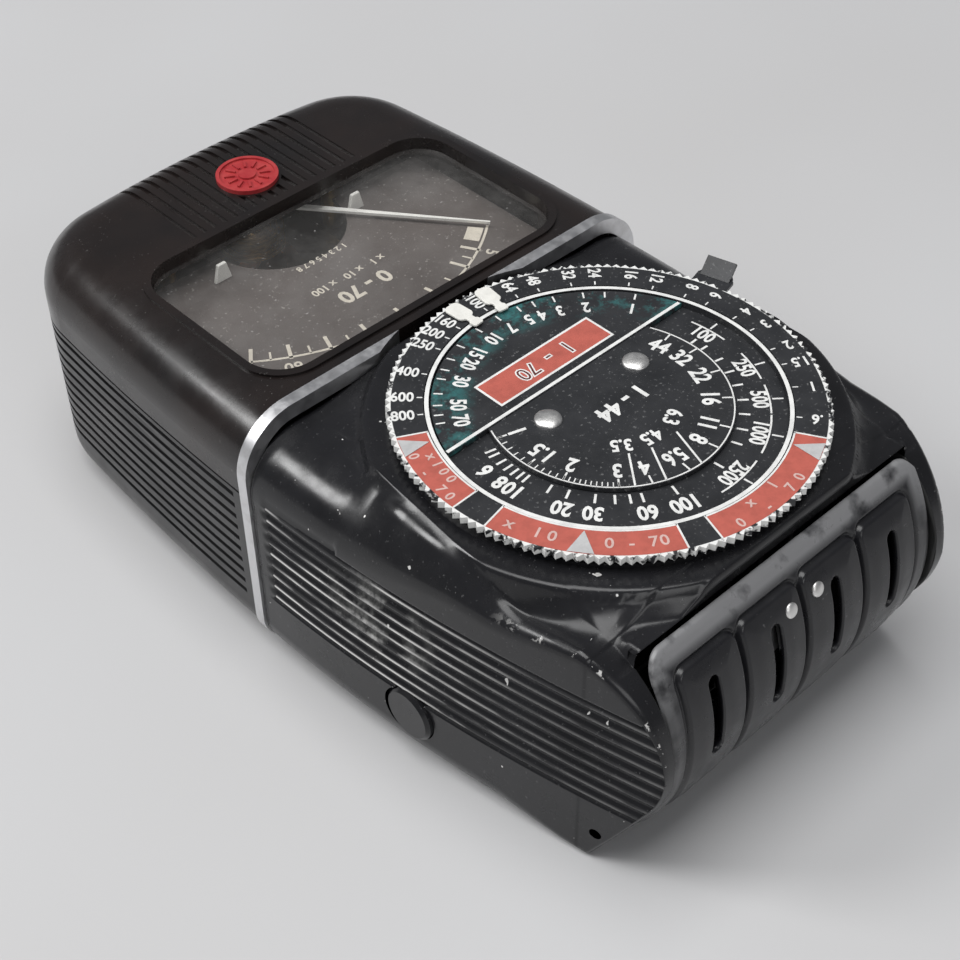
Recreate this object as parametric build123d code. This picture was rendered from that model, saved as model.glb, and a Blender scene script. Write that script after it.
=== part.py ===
from build123d import *
import os
from math import asin, atan2, cos, pi, radians, sin, sqrt

# Hand-held photographic light meter with a selenium cell, lying on its flat back.
# X runs across it, +Y towards the meter end, -Y towards the light end, +Z out of the back.
# Sizes are in millimetres. In this script y = 0 is the joint between meter body and hood;
# save() moves every piece so that the part's origin is the centre of its back.

# ---- Whole instrument ----
THICK = 33.5             # back face to the flat top
HALF_WIDTH = 30.2        # at the joint
PART_LINE = 23.8         # height of the line round the side of both halves
HOOD_TAPER = 0.0025      # half width lost per square millimetre of distance from the joint
BODY_TAPER = 0.0012
JOINT_GAP = 0.6          # meter body starts here, the trim ring ends at half of it
RIDGE_DEPTH = 0.4

# ---- Meter body ----
REAR_END = 49.5
REAR_CORNER = 12.0       # plan radius of the rear corners
BODY_WALL = 2.0
TOP_ROUND = 6.8
BACK_ROUND = 5.0
WINDOW_HALF = 22.4
WINDOW_FRONT = 2.9
WINDOW_REAR = 28.9
WINDOW_CORNER = 5.0
LIP = 1.0                # width of the raised rim round the window
BAND_HALF = 12.4         # ridged band over the rear end
BAND_RIDGES = 16
BADGE_Y = 36.2
BADGE_RADIUS = 3.9
CASE_SCREWS = ((25.6, 7.5), (-25.6, 7.5), (20.0, 41.5), (-20.0, 41.5))

# ---- Movement, all about one upright axis ----
PIVOT_Y = 37.0
POINTER_TIP = (19.0, 12.5)
PLATE_Z = 28.0           # underside of the scale plate
POINTER_Z = 29.1
BASE_Z = 5.0
MAGNET_Z = (6.5, 19.6)
GAP_RADIUS = 6.2         # bore of the pole pieces
CORE_RADIUS = 4.2
COIL_ARM = 5.2           # pivot axis to the middle of a coil side
COIL_Z = (8.2, 21.4)

# ---- Cell housing, a box that the hood slides over ----
CELL_HALF = 23.4
CELL_LOW = 4.2
CELL_HIGH = 28.4
CELL_FRONT = -26.0
CELL_WALL = 1.6

# ---- Hood ----
HOOD_WALL = 1.6
HOOD_REAR = -1.2
HOOD_STATIONS = ((0.0, 33.5, 6.8), (-12.0, 33.45, 6.2), (-24.0, 32.7, 4.2),
                 (-35.0, 31.2, 2.4), (-46.0, 30.8, 1.8), (-58.0, 30.8, 1.8))
NOSE_CENTRE = (-41.7, 18.0)      # y, z of the side plate's round nose
NOSE_RADIUS = 13.3
NOSE_FOOT = -47.2                # y where the side plate's front meets the back
NOSE_HALF = 21.2                 # inside half width between the side plates
SIDE_RIDGES = 9
RIDGE_TOP = 24.6
RIDGE_PITCH = 1.72
BUTTON_Y = -24.3
BUTTON_Z = 7.0
BUTTON_RADIUS = 3.4

# ---- Cover over the light opening ----
COVER_CENTRE = (-33.9, 17.4)    # y, z of the axis its face is rolled about
COVER_RADIUS = 20.7
COVER_THICK = 1.5
COVER_HALF = 20.9
COVER_LOW = 4.0
COVER_HIGH = 30.9
SLOT_X = (-14.16, -4.72, 4.72, 14.16)
SLOT_WIDTH = 1.4
SLOT_LOW = 15.6
SLOT_HIGH = 25.6
PIN_Y = -48.1
PIN_Z = 4.8
PIN_RADIUS = 0.8

# ---- Calculator dial ----
DIAL_Y = -25.2
BOSS_RADIUS = 26.3
RING_TIP = 23.5
RING_ROOT = 23.0
RING_INNER = 19.5
TEETH = 140
HUB_RADIUS = 11.8
RUNNING = 0.08           # radial clearance of turning pieces
STEP_Z = 34.0            # top of the dial's fixed base
RIVET_X = 6.7
RIVET_Y = -22.9
CHORD_Y = -19.6          # straight edge between the two halves of the centre plate
TAB_ANGLE = 15.0

SHIFT_Y = (NOSE_RADIUS - NOSE_CENTRE[0] - REAR_END) / 2


def save(name, shape):
    export_step(Pos(0, SHIFT_Y, 0) * shape, f"parts/{name}.step")


def block(x0, x1, y0, y1, z0, z1):
    return Pos((x0 + x1) / 2, (y0 + y1) / 2, (z0 + z1) / 2) * Box(x1 - x0, y1 - y0, z1 - z0)


def rod(x, y, z0, z1, radius):
    return Pos(x, y, (z0 + z1) / 2) * Cylinder(radius, z1 - z0)


def rod_x(y, z, x0, x1, radius):
    return Pos((x0 + x1) / 2, y, z) * Rot(0, 90, 0) * Cylinder(radius, x1 - x0)


def rod_y(x, z, y0, y1, radius):
    return Pos(x, (y0 + y1) / 2, z) * Rot(90, 0, 0) * Cylinder(radius, y1 - y0)


def tube(x, y, z0, z1, outer, inner):
    return rod(x, y, z0, z1, outer) - rod(x, y, z0 - 1, z1 + 1, inner)


def joined(shapes):
    """One shape from a list, whether or not its solids touch."""
    total = shapes[0]
    for shape in shapes[1:]:
        total = total + shape
    return total


def separate(shapes):
    """Pieces that stay separate solids of one sub-part."""
    return Compound([solid for shape in shapes for solid in shape.solids()])


# ---------------------------------------------------------------- outer forms

def hood_half(y):
    return HALF_WIDTH - HOOD_TAPER * y * y


def body_half(y):
    return HALF_WIDTH - BODY_TAPER * y * y


def body_plan(inset, front):
    side_end = REAR_END - 2.5
    half_0 = body_half(0) - inset
    half_1 = body_half(side_end / 2) - inset
    half_2 = body_half(side_end) - inset
    rear = REAR_END - inset
    corner_y = side_end - inset
    outline = [
        Line((-half_0, front), (half_0, front)),
        ThreePointArc((half_0, front), (half_1, side_end / 2), (half_2, corner_y)),
        ThreePointArc((half_2, corner_y), (0, rear), (-half_2, corner_y)),
        ThreePointArc((-half_2, corner_y), (-half_1, side_end / 2), (-half_0, front)),
    ]
    face = make_face(outline)
    return fillet(face.vertices().sort_by(Axis.Y)[-2:], REAR_CORNER - inset)


def body_block(inset, front):
    """Meter body's outer form, or its inside when inset is the wall."""
    solid = extrude(Pos(0, 0, inset) * body_plan(inset, front), THICK - 2 * inset)
    top = solid.faces().sort_by(Axis.Z)[-1].edges()
    bottom = solid.faces().sort_by(Axis.Z)[0].edges()
    solid = fillet([e for e in top if e.center().Y > front + 0.1], TOP_ROUND - inset)
    bottom = solid.faces().sort_by(Axis.Z)[0].edges()
    return fillet([e for e in bottom if e.center().Y > front + 0.1], BACK_ROUND - inset)


def rounded_section(half, low, high, r_low, r_high):
    k = 1 - sqrt(0.5)
    edges = [
        Line((half, low + r_low), (half, high - r_high)),
        ThreePointArc((half, high - r_high), (half - k * r_high, high - k * r_high), (half - r_high, high)),
        Line((half - r_high, high), (r_high - half, high)),
        ThreePointArc((r_high - half, high), (k * r_high - half, high - k * r_high), (-half, high - r_high)),
        Line((-half, high - r_high), (-half, low + r_low)),
        ThreePointArc((-half, low + r_low), (k * r_low - half, low + k * r_low), (r_low - half, low)),
        Line((r_low - half, low), (half - r_low, low)),
        ThreePointArc((half - r_low, low), (half - k * r_low, low + k * r_low), (half, low + r_low)),
    ]
    return make_face(edges)


def across(y):
    return Plane(origin=(0, y, 0), x_dir=(1, 0, 0), z_dir=(0, -1, 0))


def hood_loft(inset, rear_extra=0.0):
    """Hood's outer form before the nose is shaped, or a smaller copy of it."""
    sections = []
    for y, high, r_high in HOOD_STATIONS:
        half = hood_half(y) - inset
        y_used = y + rear_extra if y == 0 else y
        face = rounded_section(half, inset, high - inset, BACK_ROUND - min(inset, 2), max(r_high - inset, 0.8))
        sections.append(across(y_used) * face)
    return loft(sections)


def hood_inside():
    """Room inside the hood: it narrows to the side plates at the nose."""
    sections = []
    for y, high, r_high in HOOD_STATIONS:
        half = hood_half(y) - HOOD_WALL if y > -40 else NOSE_HALF
        y_used = y + 2.0 if y == 0 else y
        r_low = BACK_ROUND - HOOD_WALL
        face = rounded_section(half, HOOD_WALL, high - HOOD_WALL, r_low, max(r_high - HOOD_WALL, 0.8))
        sections.append(across(y_used) * face)
    return loft(sections, ruled=True)


def nose_prism():
    """Side view of the hood, pulled across: round nose, then straight down to the foot."""
    cy, cz = NOSE_CENTRE
    reach = sqrt((cy - NOSE_FOOT) ** 2 + cz ** 2)
    slope = atan2(cz, cy - NOSE_FOOT) + asin(NOSE_RADIUS / reach)
    run = sqrt(reach ** 2 - NOSE_RADIUS ** 2)
    touch = (NOSE_FOOT + run * cos(slope), run * sin(slope))
    crown = (cy, cz + NOSE_RADIUS)
    tip = (cy - NOSE_RADIUS, cz)
    profile = [
        Line((2.0, -1.0), (2.0, 40.0)),
        Line((2.0, 40.0), (cy, 40.0)),
        Line((cy, 40.0), crown),
        ThreePointArc(crown, tip, touch),
        Line(touch, (NOSE_FOOT, 0.0)),
        Line((NOSE_FOOT, 0.0), (NOSE_FOOT, -1.0)),
        Line((NOSE_FOOT, -1.0), (2.0, -1.0)),
    ]
    return extrude(Plane.YZ * make_face(profile), HALF_WIDTH + 5, both=True)


def cover_sector(outer, inner, half, low, high):
    """Part of a tube about the cover's axis, between two heights and in front of it."""
    cy, cz = COVER_CENTRE
    ring = rod_x(cy, cz, -half, half, outer) - rod_x(cy, cz, -half - 1, half + 1, inner)
    return ring & block(-half, half, cy - 40, cy - 8, low, high)


# ---------------------------------------------------------------- meter body

def band_cutter():
    skin = body_block(0, JOINT_GAP) - body_block(RIDGE_DEPTH, JOINT_GAP - 1)
    pitch = 2 * BAND_HALF / BAND_RIDGES
    start = WINDOW_REAR + LIP + 0.6
    slots = []
    for i in range(BAND_RIDGES + 1):
        x = -BAND_HALF + i * pitch
        slots.append(block(x - 0.3, x + 0.3, start, REAR_END + 2, PART_LINE + 1.2, THICK + 1))
    keep = rod(0, BADGE_Y, PART_LINE, THICK + 2, BADGE_RADIUS + 0.3)
    return (skin & joined(slots)) - keep


def upper_case():
    shell = body_block(0, JOINT_GAP) - body_block(BODY_WALL, JOINT_GAP + BODY_WALL)
    shell = shell & block(-40, 40, -1, 60, PART_LINE + 0.15, THICK + 1)
    middle = (WINDOW_FRONT + WINDOW_REAR) / 2
    depth = WINDOW_REAR - WINDOW_FRONT
    opening = Pos(0, middle, THICK - 8) * extrude(
        RectangleRounded(2 * WINDOW_HALF, depth, WINDOW_CORNER), 12)
    rim = Pos(0, middle, THICK - 1) * extrude(
        RectangleRounded(2 * (WINDOW_HALF + LIP), depth + 2 * LIP, WINDOW_CORNER + LIP), 1.3)
    rim = rim & block(-40, 40, JOINT_GAP, 60, 0, 40)
    shell = (shell + rim) - opening - band_cutter()
    for x, y in CASE_SCREWS:
        pillar = rod(x, y, 13.0, THICK - 1.5, 2.4) & body_block(1.0, JOINT_GAP)
        shell = shell + pillar - rod(x, y, 12.0, 21.0, 1.02)
    return shell


def lower_case():
    outer = body_block(0, JOINT_GAP)
    shell = outer - body_block(BODY_WALL, JOINT_GAP + BODY_WALL)
    shell = shell & block(-40, 40, -1, 60, -1, PART_LINE - 0.15)
    skin = outer - body_block(RIDGE_DEPTH, JOINT_GAP - 1)
    slabs = []
    for i in range(SIDE_RIDGES + 1):
        z = RIDGE_TOP - 1.9 - i * RIDGE_PITCH
        slabs.append(block(-40, 40, JOINT_GAP + 1.5, 60, z - 0.35, z + 0.35))
    shell = shell - (skin & joined(slabs))
    shell = shell - block(-CELL_HALF + 4, CELL_HALF - 4, 0, BODY_WALL + 2, CELL_LOW + 4, CELL_HIGH - 4)
    shell = shell - rod(0, PIVOT_Y, -1, BODY_WALL + 1, 2.46)
    for x, y in CASE_SCREWS:
        shell = shell - rod(x, y, -1, BODY_WALL + 1, 1.05) - rod(x, y, -1, 1.2, 2.05)
    for x in (-12.0, 12.0):
        for y in (14.0, 40.0):
            shell = shell + rod(x, y, BODY_WALL - 0.2, BASE_Z, 2.0)
    return shell


def window_glass():
    middle = (WINDOW_FRONT + WINDOW_REAR) / 2
    depth = WINDOW_REAR - WINDOW_FRONT - 0.1
    return Pos(0, middle, THICK - 2.4) * extrude(
        RectangleRounded(2 * WINDOW_HALF - 0.1, depth, WINDOW_CORNER - 0.05), 1.1)


def badge():
    """Plain round badge: a raised rim, a ring of short rays and a centre dot."""
    disc = rod(0, BADGE_Y, THICK, THICK + 0.3, BADGE_RADIUS)
    disc = disc + tube(0, BADGE_Y, THICK + 0.2, THICK + 0.55, BADGE_RADIUS, BADGE_RADIUS - 0.45)
    disc = disc + rod(0, BADGE_Y, THICK + 0.2, THICK + 0.55, 1.1)
    for i in range(12):
        ray = Pos(2.2, 0, THICK + 0.35) * Box(1.3, 0.3, 0.4)
        disc = disc + Pos(0, BADGE_Y, 0) * Rot(0, 0, 30 * i) * ray
    return disc


def scale_plate():
    plate = block(-22.9, 22.9, JOINT_GAP + BODY_WALL + 0.2, 31.0, PLATE_Z, PLATE_Z + 0.5)
    return plate - rod(0, 31.5, PLATE_Z - 1, PLATE_Z + 2, 9.0)


def plate_pillars():
    return separate([rod(x, y, BODY_WALL, PLATE_Z, 1.5) for x in (-21.0, 21.0) for y in (14.0, 27.0)])


def pointer_stops():
    """Two small posts on the scale plate that end the pointer's sweep."""
    return separate([rod(x, 27.2, PLATE_Z + 0.5, PLATE_Z + 2.2, 0.7) for x in (-11.4, 9.6)])


def case_screws():
    screws = []
    for x, y in CASE_SCREWS:
        screw = rod(x, y, 0.3, 1.2, 2.0) + rod(x, y, 1.1, 20.0, 1.0)
        screws.append(screw - block(x - 2.2, x + 2.2, y - 0.25, y + 0.25, 0.2, 0.75))
    return separate(screws)


# ---------------------------------------------------------------- light cell

def cell_housing():
    outer = block(-CELL_HALF, CELL_HALF, CELL_FRONT, JOINT_GAP, CELL_LOW, CELL_HIGH)
    outer = fillet(outer.edges().filter_by(Axis.Y), 3.0)
    inside = block(-CELL_HALF + CELL_WALL, CELL_HALF - CELL_WALL, CELL_FRONT - 1, JOINT_GAP + 1,
                   CELL_LOW + CELL_WALL, CELL_HIGH - CELL_WALL)
    inside = fillet(inside.edges().filter_by(Axis.Y), 1.4)
    return outer - inside


def cell_plate(y0, y1, gap):
    half = CELL_HALF - CELL_WALL - gap
    low = CELL_LOW + CELL_WALL + gap
    high = CELL_HIGH - CELL_WALL - gap
    plate = block(-half, half, y0, y1, low, high)
    return fillet(plate.edges().filter_by(Axis.Y), 1.35)


def cell_ring():
    """Metal frame that touches the cell's front edge all round."""
    frame = cell_plate(CELL_FRONT + 1.9, CELL_FRONT + 2.9, 0.05)
    hole = block(-CELL_HALF + 4.2, CELL_HALF - 4.2, CELL_FRONT, CELL_FRONT + 5, CELL_LOW + 4.2, CELL_HIGH - 4.2)
    return frame - hole


def cell_spring():
    """Bowed strip that presses on the back of the cell."""
    strip = block(-17.0, 17.0, CELL_FRONT + 4.6, CELL_FRONT + 5.0, 13.3, 19.3)
    for x in (-14.0, 0.0, 14.0):
        strip = strip + block(x - 1.5, x + 1.5, CELL_FRONT + 4.2, CELL_FRONT + 4.7, 14.8, 17.8)
    return strip


def cell_back():
    """Insulating board that closes the housing behind the spring."""
    board = cell_plate(CELL_FRONT + 5.0, CELL_FRONT + 6.4, 0.05)
    for x in (-12.0, 12.0):
        board = board - rod_y(x, 10.0, CELL_FRONT + 4, CELL_FRONT + 8, 0.9)
    return board


def terminals():
    """Two solder tags with their eyelets on the insulating board."""
    tags = []
    for x in (-12.0, 12.0):
        tag = block(x - 1.5, x + 1.5, CELL_FRONT + 6.4, CELL_FRONT + 6.9, 7.5, 16.0)
        tag = tag + rod_y(x, 10.0, CELL_FRONT + 5.4, CELL_FRONT + 7.5, 0.9)
        tags.append(tag)
    return separate(tags)


def lead_wires():
    """Two insulated leads from the tags back to the movement."""
    wires = []
    for x in (-12.0, 12.0):
        path = FilletPolyline((x, CELL_FRONT + 6.95, 15.0), (x, -12.0, 15.0), (x * 0.8, -2.0, 18.0),
                              (x * 0.8, 8.0, 22.5), radius=4.0)
        start = Plane(origin=path @ 0, z_dir=path % 0)
        wires.append(sweep(start * Circle(0.6), path))
    return separate(wires)


def latch_spring():
    """Blade on the cell housing that the hood snaps over."""
    blade = block(-CELL_HALF - 0.5, -CELL_HALF, CELL_FRONT + 3, -5.0, 8.0, 13.0)
    return blade + rod_y(-CELL_HALF - 0.4, 10.5, CELL_FRONT + 4.0, CELL_FRONT + 7.0, 0.8) & block(
        -CELL_HALF - 3, -CELL_HALF, -40, 0, 5, 20)


# ---------------------------------------------------------------- movement

def movement_base():
    plate = block(-15.5, 15.5, 9.0, 45.5, BASE_Z, MAGNET_Z[0])
    plate = fillet(plate.edges().filter_by(Axis.Z), 4.0)
    return plate - rod(0, PIVOT_Y, 0, 10, 1.6)


def magnet():
    """Horseshoe magnet, its bend towards the light end and its legs beside the coil."""
    bend_y = 26.0
    low, high = MAGNET_Z
    bow = rod(0, bend_y, low, high, 16.5) - rod(0, bend_y, low - 1, high + 1, 11.5)
    bow = bow & block(-20, 20, 0, bend_y, low, high)
    legs = [block(s * 14.0 - 2.5, s * 14.0 + 2.5, bend_y, 42.5, low, high) for s in (-1, 1)]
    return joined([bow] + legs)


def pole_pieces():
    low, high = MAGNET_Z
    pieces = []
    for side in (-1, 1):
        x0, x1 = sorted((side * 3.6, side * 11.5))
        shoe = block(x0, x1, 30.5, 43.5, low, high)
        pieces.append(shoe - rod(0, PIVOT_Y, low - 1, high + 1, GAP_RADIUS))
    return separate(pieces)


def iron_core():
    return rod(0, PIVOT_Y, COIL_Z[0] + 1.8, COIL_Z[1] - 1.8, CORE_RADIUS)


def core_bracket():
    """Brass arm that holds the core from behind, clear of the coil."""
    low, high = MAGNET_Z
    arm = block(-1.5, 1.5, PIVOT_Y + CORE_RADIUS - 0.05, 45.0, 12.5, 16.0)
    arm = arm - rod(0, PIVOT_Y, 0, 30, CORE_RADIUS)
    foot = block(-3.0, 3.0, 43.6, 45.2, low, 16.0)
    return arm + foot


def upper_bridge():
    bridge = block(-15.5, 15.5, PIVOT_Y - 2.2, PIVOT_Y + 2.2, 30.3, 31.1)
    bridge = fillet(bridge.edges().filter_by(Axis.Z), 1.8)
    return bridge - rod(0, PIVOT_Y, 29, 33, 1.2)


def bridge_posts():
    return separate([rod(x, PIVOT_Y, MAGNET_Z[1], 30.3, 1.5) for x in (-13.6, 13.6)])


def jewel_screws():
    upper = rod(0, PIVOT_Y, 30.3, 31.3, 1.18)
    lower = rod(0, PIVOT_Y, BASE_Z - 0.2, COIL_Z[0] - 0.9, 1.58)
    return separate([upper, lower])


def movement_screws():
    """Screws that hold the movement's base down on the posts of the case."""
    return separate([rod(x, 19.0, MAGNET_Z[0], MAGNET_Z[0] + 1.0, 1.4) for x in (-6.0, 6.0)])


def spiral(turns, r_in, r_out, thick, z0, z1):
    """Flat spiral spring: a strip between two spirals of even pitch."""
    def side(offset):
        points = []
        steps = turns * 8
        for i in range(steps + 1):
            r = r_in + (r_out - r_in) * i / steps + offset
            a = 2 * pi * i / 8
            points.append((r * cos(a), r * sin(a)))
        return points
    inner = side(-thick / 2)
    outer = side(thick / 2)
    edges = [Spline(*inner), Line(inner[-1], outer[-1]), Spline(*outer[::-1]), Line(outer[0], inner[0])]
    return Pos(0, PIVOT_Y, z0) * extrude(make_face(edges), z1 - z0)


def hairsprings():
    return separate([spiral(4, 1.1, 4.4, 0.2, z, z + 0.5) for z in (23.0, 25.0)])


def pivot_shaft():
    upper = rod(0, PIVOT_Y, COIL_Z[1], 30.2, 0.6)
    lower = rod(0, PIVOT_Y, COIL_Z[0] - 0.8, COIL_Z[0], 0.6)
    return separate([upper, lower])


def moving_coil():
    """Rectangular coil round the core, square to the pointer."""
    low, high = COIL_Z
    frame = block(-COIL_ARM - 0.5, COIL_ARM + 0.5, -1.1, 1.1, low, high)
    frame = frame - block(-COIL_ARM + 0.5, COIL_ARM - 0.5, -2, 2, low + 1.0, high - 1.0)
    lean = 90 + 180 / pi * atan2(POINTER_TIP[1] - PIVOT_Y, POINTER_TIP[0])
    return Pos(0, PIVOT_Y, 0) * Rot(0, 0, lean) * frame


def pointer():
    reach = sqrt(POINTER_TIP[0] ** 2 + (POINTER_TIP[1] - PIVOT_Y) ** 2)
    lean = 180 / pi * atan2(POINTER_TIP[1] - PIVOT_Y, POINTER_TIP[0])
    blade = make_face(Polyline((-5.0, -0.5), (5.0, -0.45), (reach, -0.12), (reach, 0.12), (5.0, 0.45), (-5.0, 0.5),
                               close=True))
    arm = extrude(blade, 0.35) + Pos(-5.0, 0, 0.35) * Box(1.6, 2.4, 0.7)
    arm = arm + Pos(0, 0, 0.3) * Cylinder(1.1, 0.6) - Cylinder(0.6, 6)
    return Pos(0, PIVOT_Y, POINTER_Z) * Rot(0, 0, lean) * arm


def zero_screw():
    """Slotted screw in the back that sets the pointer's zero."""
    screw = rod(0, PIVOT_Y, 0.25, BODY_WALL + 0.8, 2.4)
    screw = screw + rod(0, PIVOT_Y, BODY_WALL + 0.2, BODY_WALL + 1.0, 3.2)
    return screw - block(-3, 3, PIVOT_Y - 0.35, PIVOT_Y + 0.35, 0, 1.0)


# ---------------------------------------------------------------- hood

def hood_shell():
    nose = nose_prism()
    outer = (hood_loft(0.0) & nose) & block(-40, 40, -60, HOOD_REAR, -1, 40)
    boss = rod(0, DIAL_Y, 24.0, THICK, BOSS_RADIUS) & block(-40, 40, -48.2, HOOD_REAR, 0, 40)
    skin = hood_loft(0.0) - hood_loft(RIDGE_DEPTH, rear_extra=1.0)
    slabs = []
    for i in range(SIDE_RIDGES + 1):
        z = RIDGE_TOP - i * RIDGE_PITCH
        slabs.append(block(-40, -NOSE_HALF, -60, HOOD_REAR - 1.6, z - 0.4, z + 0.4))
        slabs.append(block(NOSE_HALF, 40, -60, HOOD_REAR - 1.6, z - 0.4, z + 0.4))
    shell = outer - (skin & joined(slabs)) + boss - hood_inside()
    room = cover_sector(COVER_RADIUS + 12, COVER_RADIUS - COVER_THICK - 0.3, NOSE_HALF, 1.7, 40.0)
    shell = shell - (room & block(-40, 40, -60, -40, 1.7, COVER_HIGH + 0.9))
    shell = shell - rod_x(PIN_Y, PIN_Z, -NOSE_HALF, NOSE_HALF, PIN_RADIUS + 1.3)
    shell = shell - rod_x(PIN_Y, PIN_Z, -26, 26, PIN_RADIUS)
    return shell - rod_x(BUTTON_Y, BUTTON_Z, -40, -20, BUTTON_RADIUS + 0.06)


def hood_trim():
    """Bright ring round the open rear end of the hood, cut back beside the dial."""
    y, high, r_high = HOOD_STATIONS[0]
    big = rounded_section(HALF_WIDTH + 0.35, 0.0, high + 0.3, BACK_ROUND + 0.1, r_high + 0.3)
    small = rounded_section(HALF_WIDTH - HOOD_WALL, HOOD_WALL, high - HOOD_WALL, BACK_ROUND - HOOD_WALL,
                            r_high - HOOD_WALL)
    ring = extrude(across(JOINT_GAP / 2) * big, JOINT_GAP / 2 - HOOD_REAR)
    ring = ring - extrude(across(JOINT_GAP / 2 + 1) * small, 4)
    return ring - rod(0, DIAL_Y, THICK - 2.6, THICK + 2, BOSS_RADIUS + 0.1)


def light_baffle():
    """Egg-crate screen behind the cover that limits the angle of the light."""
    frame = block(-20.6, 20.6, -43.5, -38.0, 4.0, 28.0)
    cells_x, cells_z = 8, 5
    pitch_x = 41.2 / cells_x
    pitch_z = 24.0 / cells_z
    for i in range(cells_x):
        for j in range(cells_z):
            x = -20.6 + (i + 0.5) * pitch_x
            z = 4.0 + (j + 0.5) * pitch_z
            frame = frame - Pos(x, -40.75, z) * Box(pitch_x - 0.7, 8, pitch_z - 0.7)
    return frame


def hinge_pin():
    return rod_x(PIN_Y, PIN_Z, -23.2, 23.2, PIN_RADIUS)


def release_button():
    """Push button low on the side of the hood, with a collar inside the wall."""
    head = rod_x(BUTTON_Y, BUTTON_Z, -29.1, -25.9, BUTTON_RADIUS)
    head = chamfer(head.edges().sort_by(Axis.X)[0], 0.4)
    return head + rod_x(BUTTON_Y, BUTTON_Z, -26.0, -25.5, BUTTON_RADIUS + 0.3)


def button_spring():
    """Leaf spring behind the button, fixed inside the hood's wall."""
    blade = block(-24.6, -24.3, BUTTON_Y - 1.0, BUTTON_Y + 17.5, 6.0, 8.0)
    return blade + block(-28.2, -24.3, BUTTON_Y + 16.5, BUTTON_Y + 17.5, 6.0, 8.0)


def shutter_tab():
    """Finger tab that sticks out past the dial and curls up at its tip."""
    arm = block(18.0, 26.0, -2.2, 2.2, STEP_Z + 0.1, STEP_Z + 0.5)
    tip = rod(25.4, 0, STEP_Z + 0.1, STEP_Z + 0.5, 2.2)
    lift = Pos(26.6, 0, STEP_Z + 1.1) * Rot(0, -38, 0) * Box(2.4, 3.6, 0.45)
    return Rot(0, 0, TAB_ANGLE) * (arm + tip + lift)


def dial_base():
    return rod(0, DIAL_Y, THICK, STEP_Z, 22.8)


def dial_hub():
    hub = rod(0, DIAL_Y, STEP_Z, STEP_Z + 0.6, HUB_RADIUS)
    for x in (-RIVET_X, RIVET_X):
        hub = hub - rod(x, RIVET_Y, STEP_Z - 1, STEP_Z + 2, 0.9)
    return hub


def shutter_disc():
    disc = tube(0, 0, STEP_Z + 0.1, STEP_Z + 0.5, 22.6, HUB_RADIUS + RUNNING)
    rib = tube(0, 0, STEP_Z + 0.4, STEP_Z + 1.3, RING_INNER - RUNNING, RING_INNER - 0.6)
    return Pos(0, DIAL_Y, 0) * (disc + rib + shutter_tab())


def film_speed_ring():
    points = []
    for i in range(TEETH):
        a = 2 * pi * i / TEETH
        b = 2 * pi * (i + 0.5) / TEETH
        points.append((RING_TIP * cos(a), RING_TIP * sin(a)))
        points.append((RING_ROOT * cos(b), RING_ROOT * sin(b)))
    ring = extrude(make_face(Polyline(*points, close=True)), 0.8)
    ring = ring - Cylinder(RING_INNER, 4)
    return Pos(0, DIAL_Y, STEP_Z + 0.6) * ring


def light_value_plate():
    """Rear part of the centre plate, cut straight along the chord."""
    disc = rod(0, DIAL_Y, STEP_Z + 0.6, STEP_Z + 1.2, 18.7)
    return disc & block(-30, 30, CHORD_Y, 10, 0, 50)


def fstop_plate():
    disc = rod(0, DIAL_Y, STEP_Z + 0.6, STEP_Z + 1.1, 13.4)
    disc = disc & block(-30, 30, -60, CHORD_Y, 0, 50)
    for x in (-RIVET_X, RIVET_X):
        disc = disc - rod(x, RIVET_Y, STEP_Z, STEP_Z + 3, 0.9)
    return disc


def dial_rivets():
    rivets = []
    for x in (-RIVET_X, RIVET_X):
        head = rod(x, RIVET_Y, STEP_Z + 1.1, STEP_Z + 1.6, 1.5)
        head = fillet(head.edges().sort_by(Axis.Z)[-1], 0.35)
        rivets.append(head + rod(x, RIVET_Y, STEP_Z, STEP_Z + 1.2, 0.88))
    return separate(rivets)


def index_clips():
    """Two narrow white pointers that reach from the centre plate over the ring."""
    clips = []
    for angle in (94.0, 82.5):
        arm = block(17.4, 23.2, -0.9, 0.9, STEP_Z + 1.5, STEP_Z + 1.8)
        foot = block(17.4, 18.5, -0.9, 0.9, STEP_Z + 1.2, STEP_Z + 1.6)
        clips.append(Pos(0, DIAL_Y, 0) * Rot(0, 0, angle) * (arm + foot))
    return separate(clips)


# ---------------------------------------------------------------- cover

def cover_panel():
    outer = COVER_RADIUS
    panel = cover_sector(outer, outer - COVER_THICK, COVER_HALF, COVER_LOW, COVER_HIGH)
    skin = cover_sector(outer + 1, outer - 0.5, COVER_HALF, COVER_LOW, COVER_HIGH)
    border = block(-18.9, 18.9, -60, -40, 6.2, 28.8) - block(-18.1, 18.1, -61, -39, 6.9, 28.1)
    lines = [block(x - 0.45, x + 0.45, -60, -40, 6.5, 28.4) for x in (-9.44, 0.0, 9.44)]
    panel = panel - (skin & joined([border] + lines))
    for x in SLOT_X:
        low = SLOT_LOW + SLOT_WIDTH / 2
        high = SLOT_HIGH - SLOT_WIDTH / 2
        panel = panel - block(x - SLOT_WIDTH / 2, x + SLOT_WIDTH / 2, -60, -44, low, high)
        panel = panel - rod_y(x, low, -60, -44, SLOT_WIDTH / 2) - rod_y(x, high, -60, -44, SLOT_WIDTH / 2)
    panel = panel + (rod_x(PIN_Y, PIN_Z, -COVER_HALF, COVER_HALF, PIN_RADIUS + 0.9)
                     & block(-40, 40, -60, -40, 0, 20))
    panel = panel - rod_x(PIN_Y, PIN_Z, -40, 40, PIN_RADIUS + 0.06)
    for x in (-2.1, 2.1):
        panel = panel - cover_rivet(x, 0.6, 4.0, COVER_RADIUS - 4)
    return panel


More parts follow.
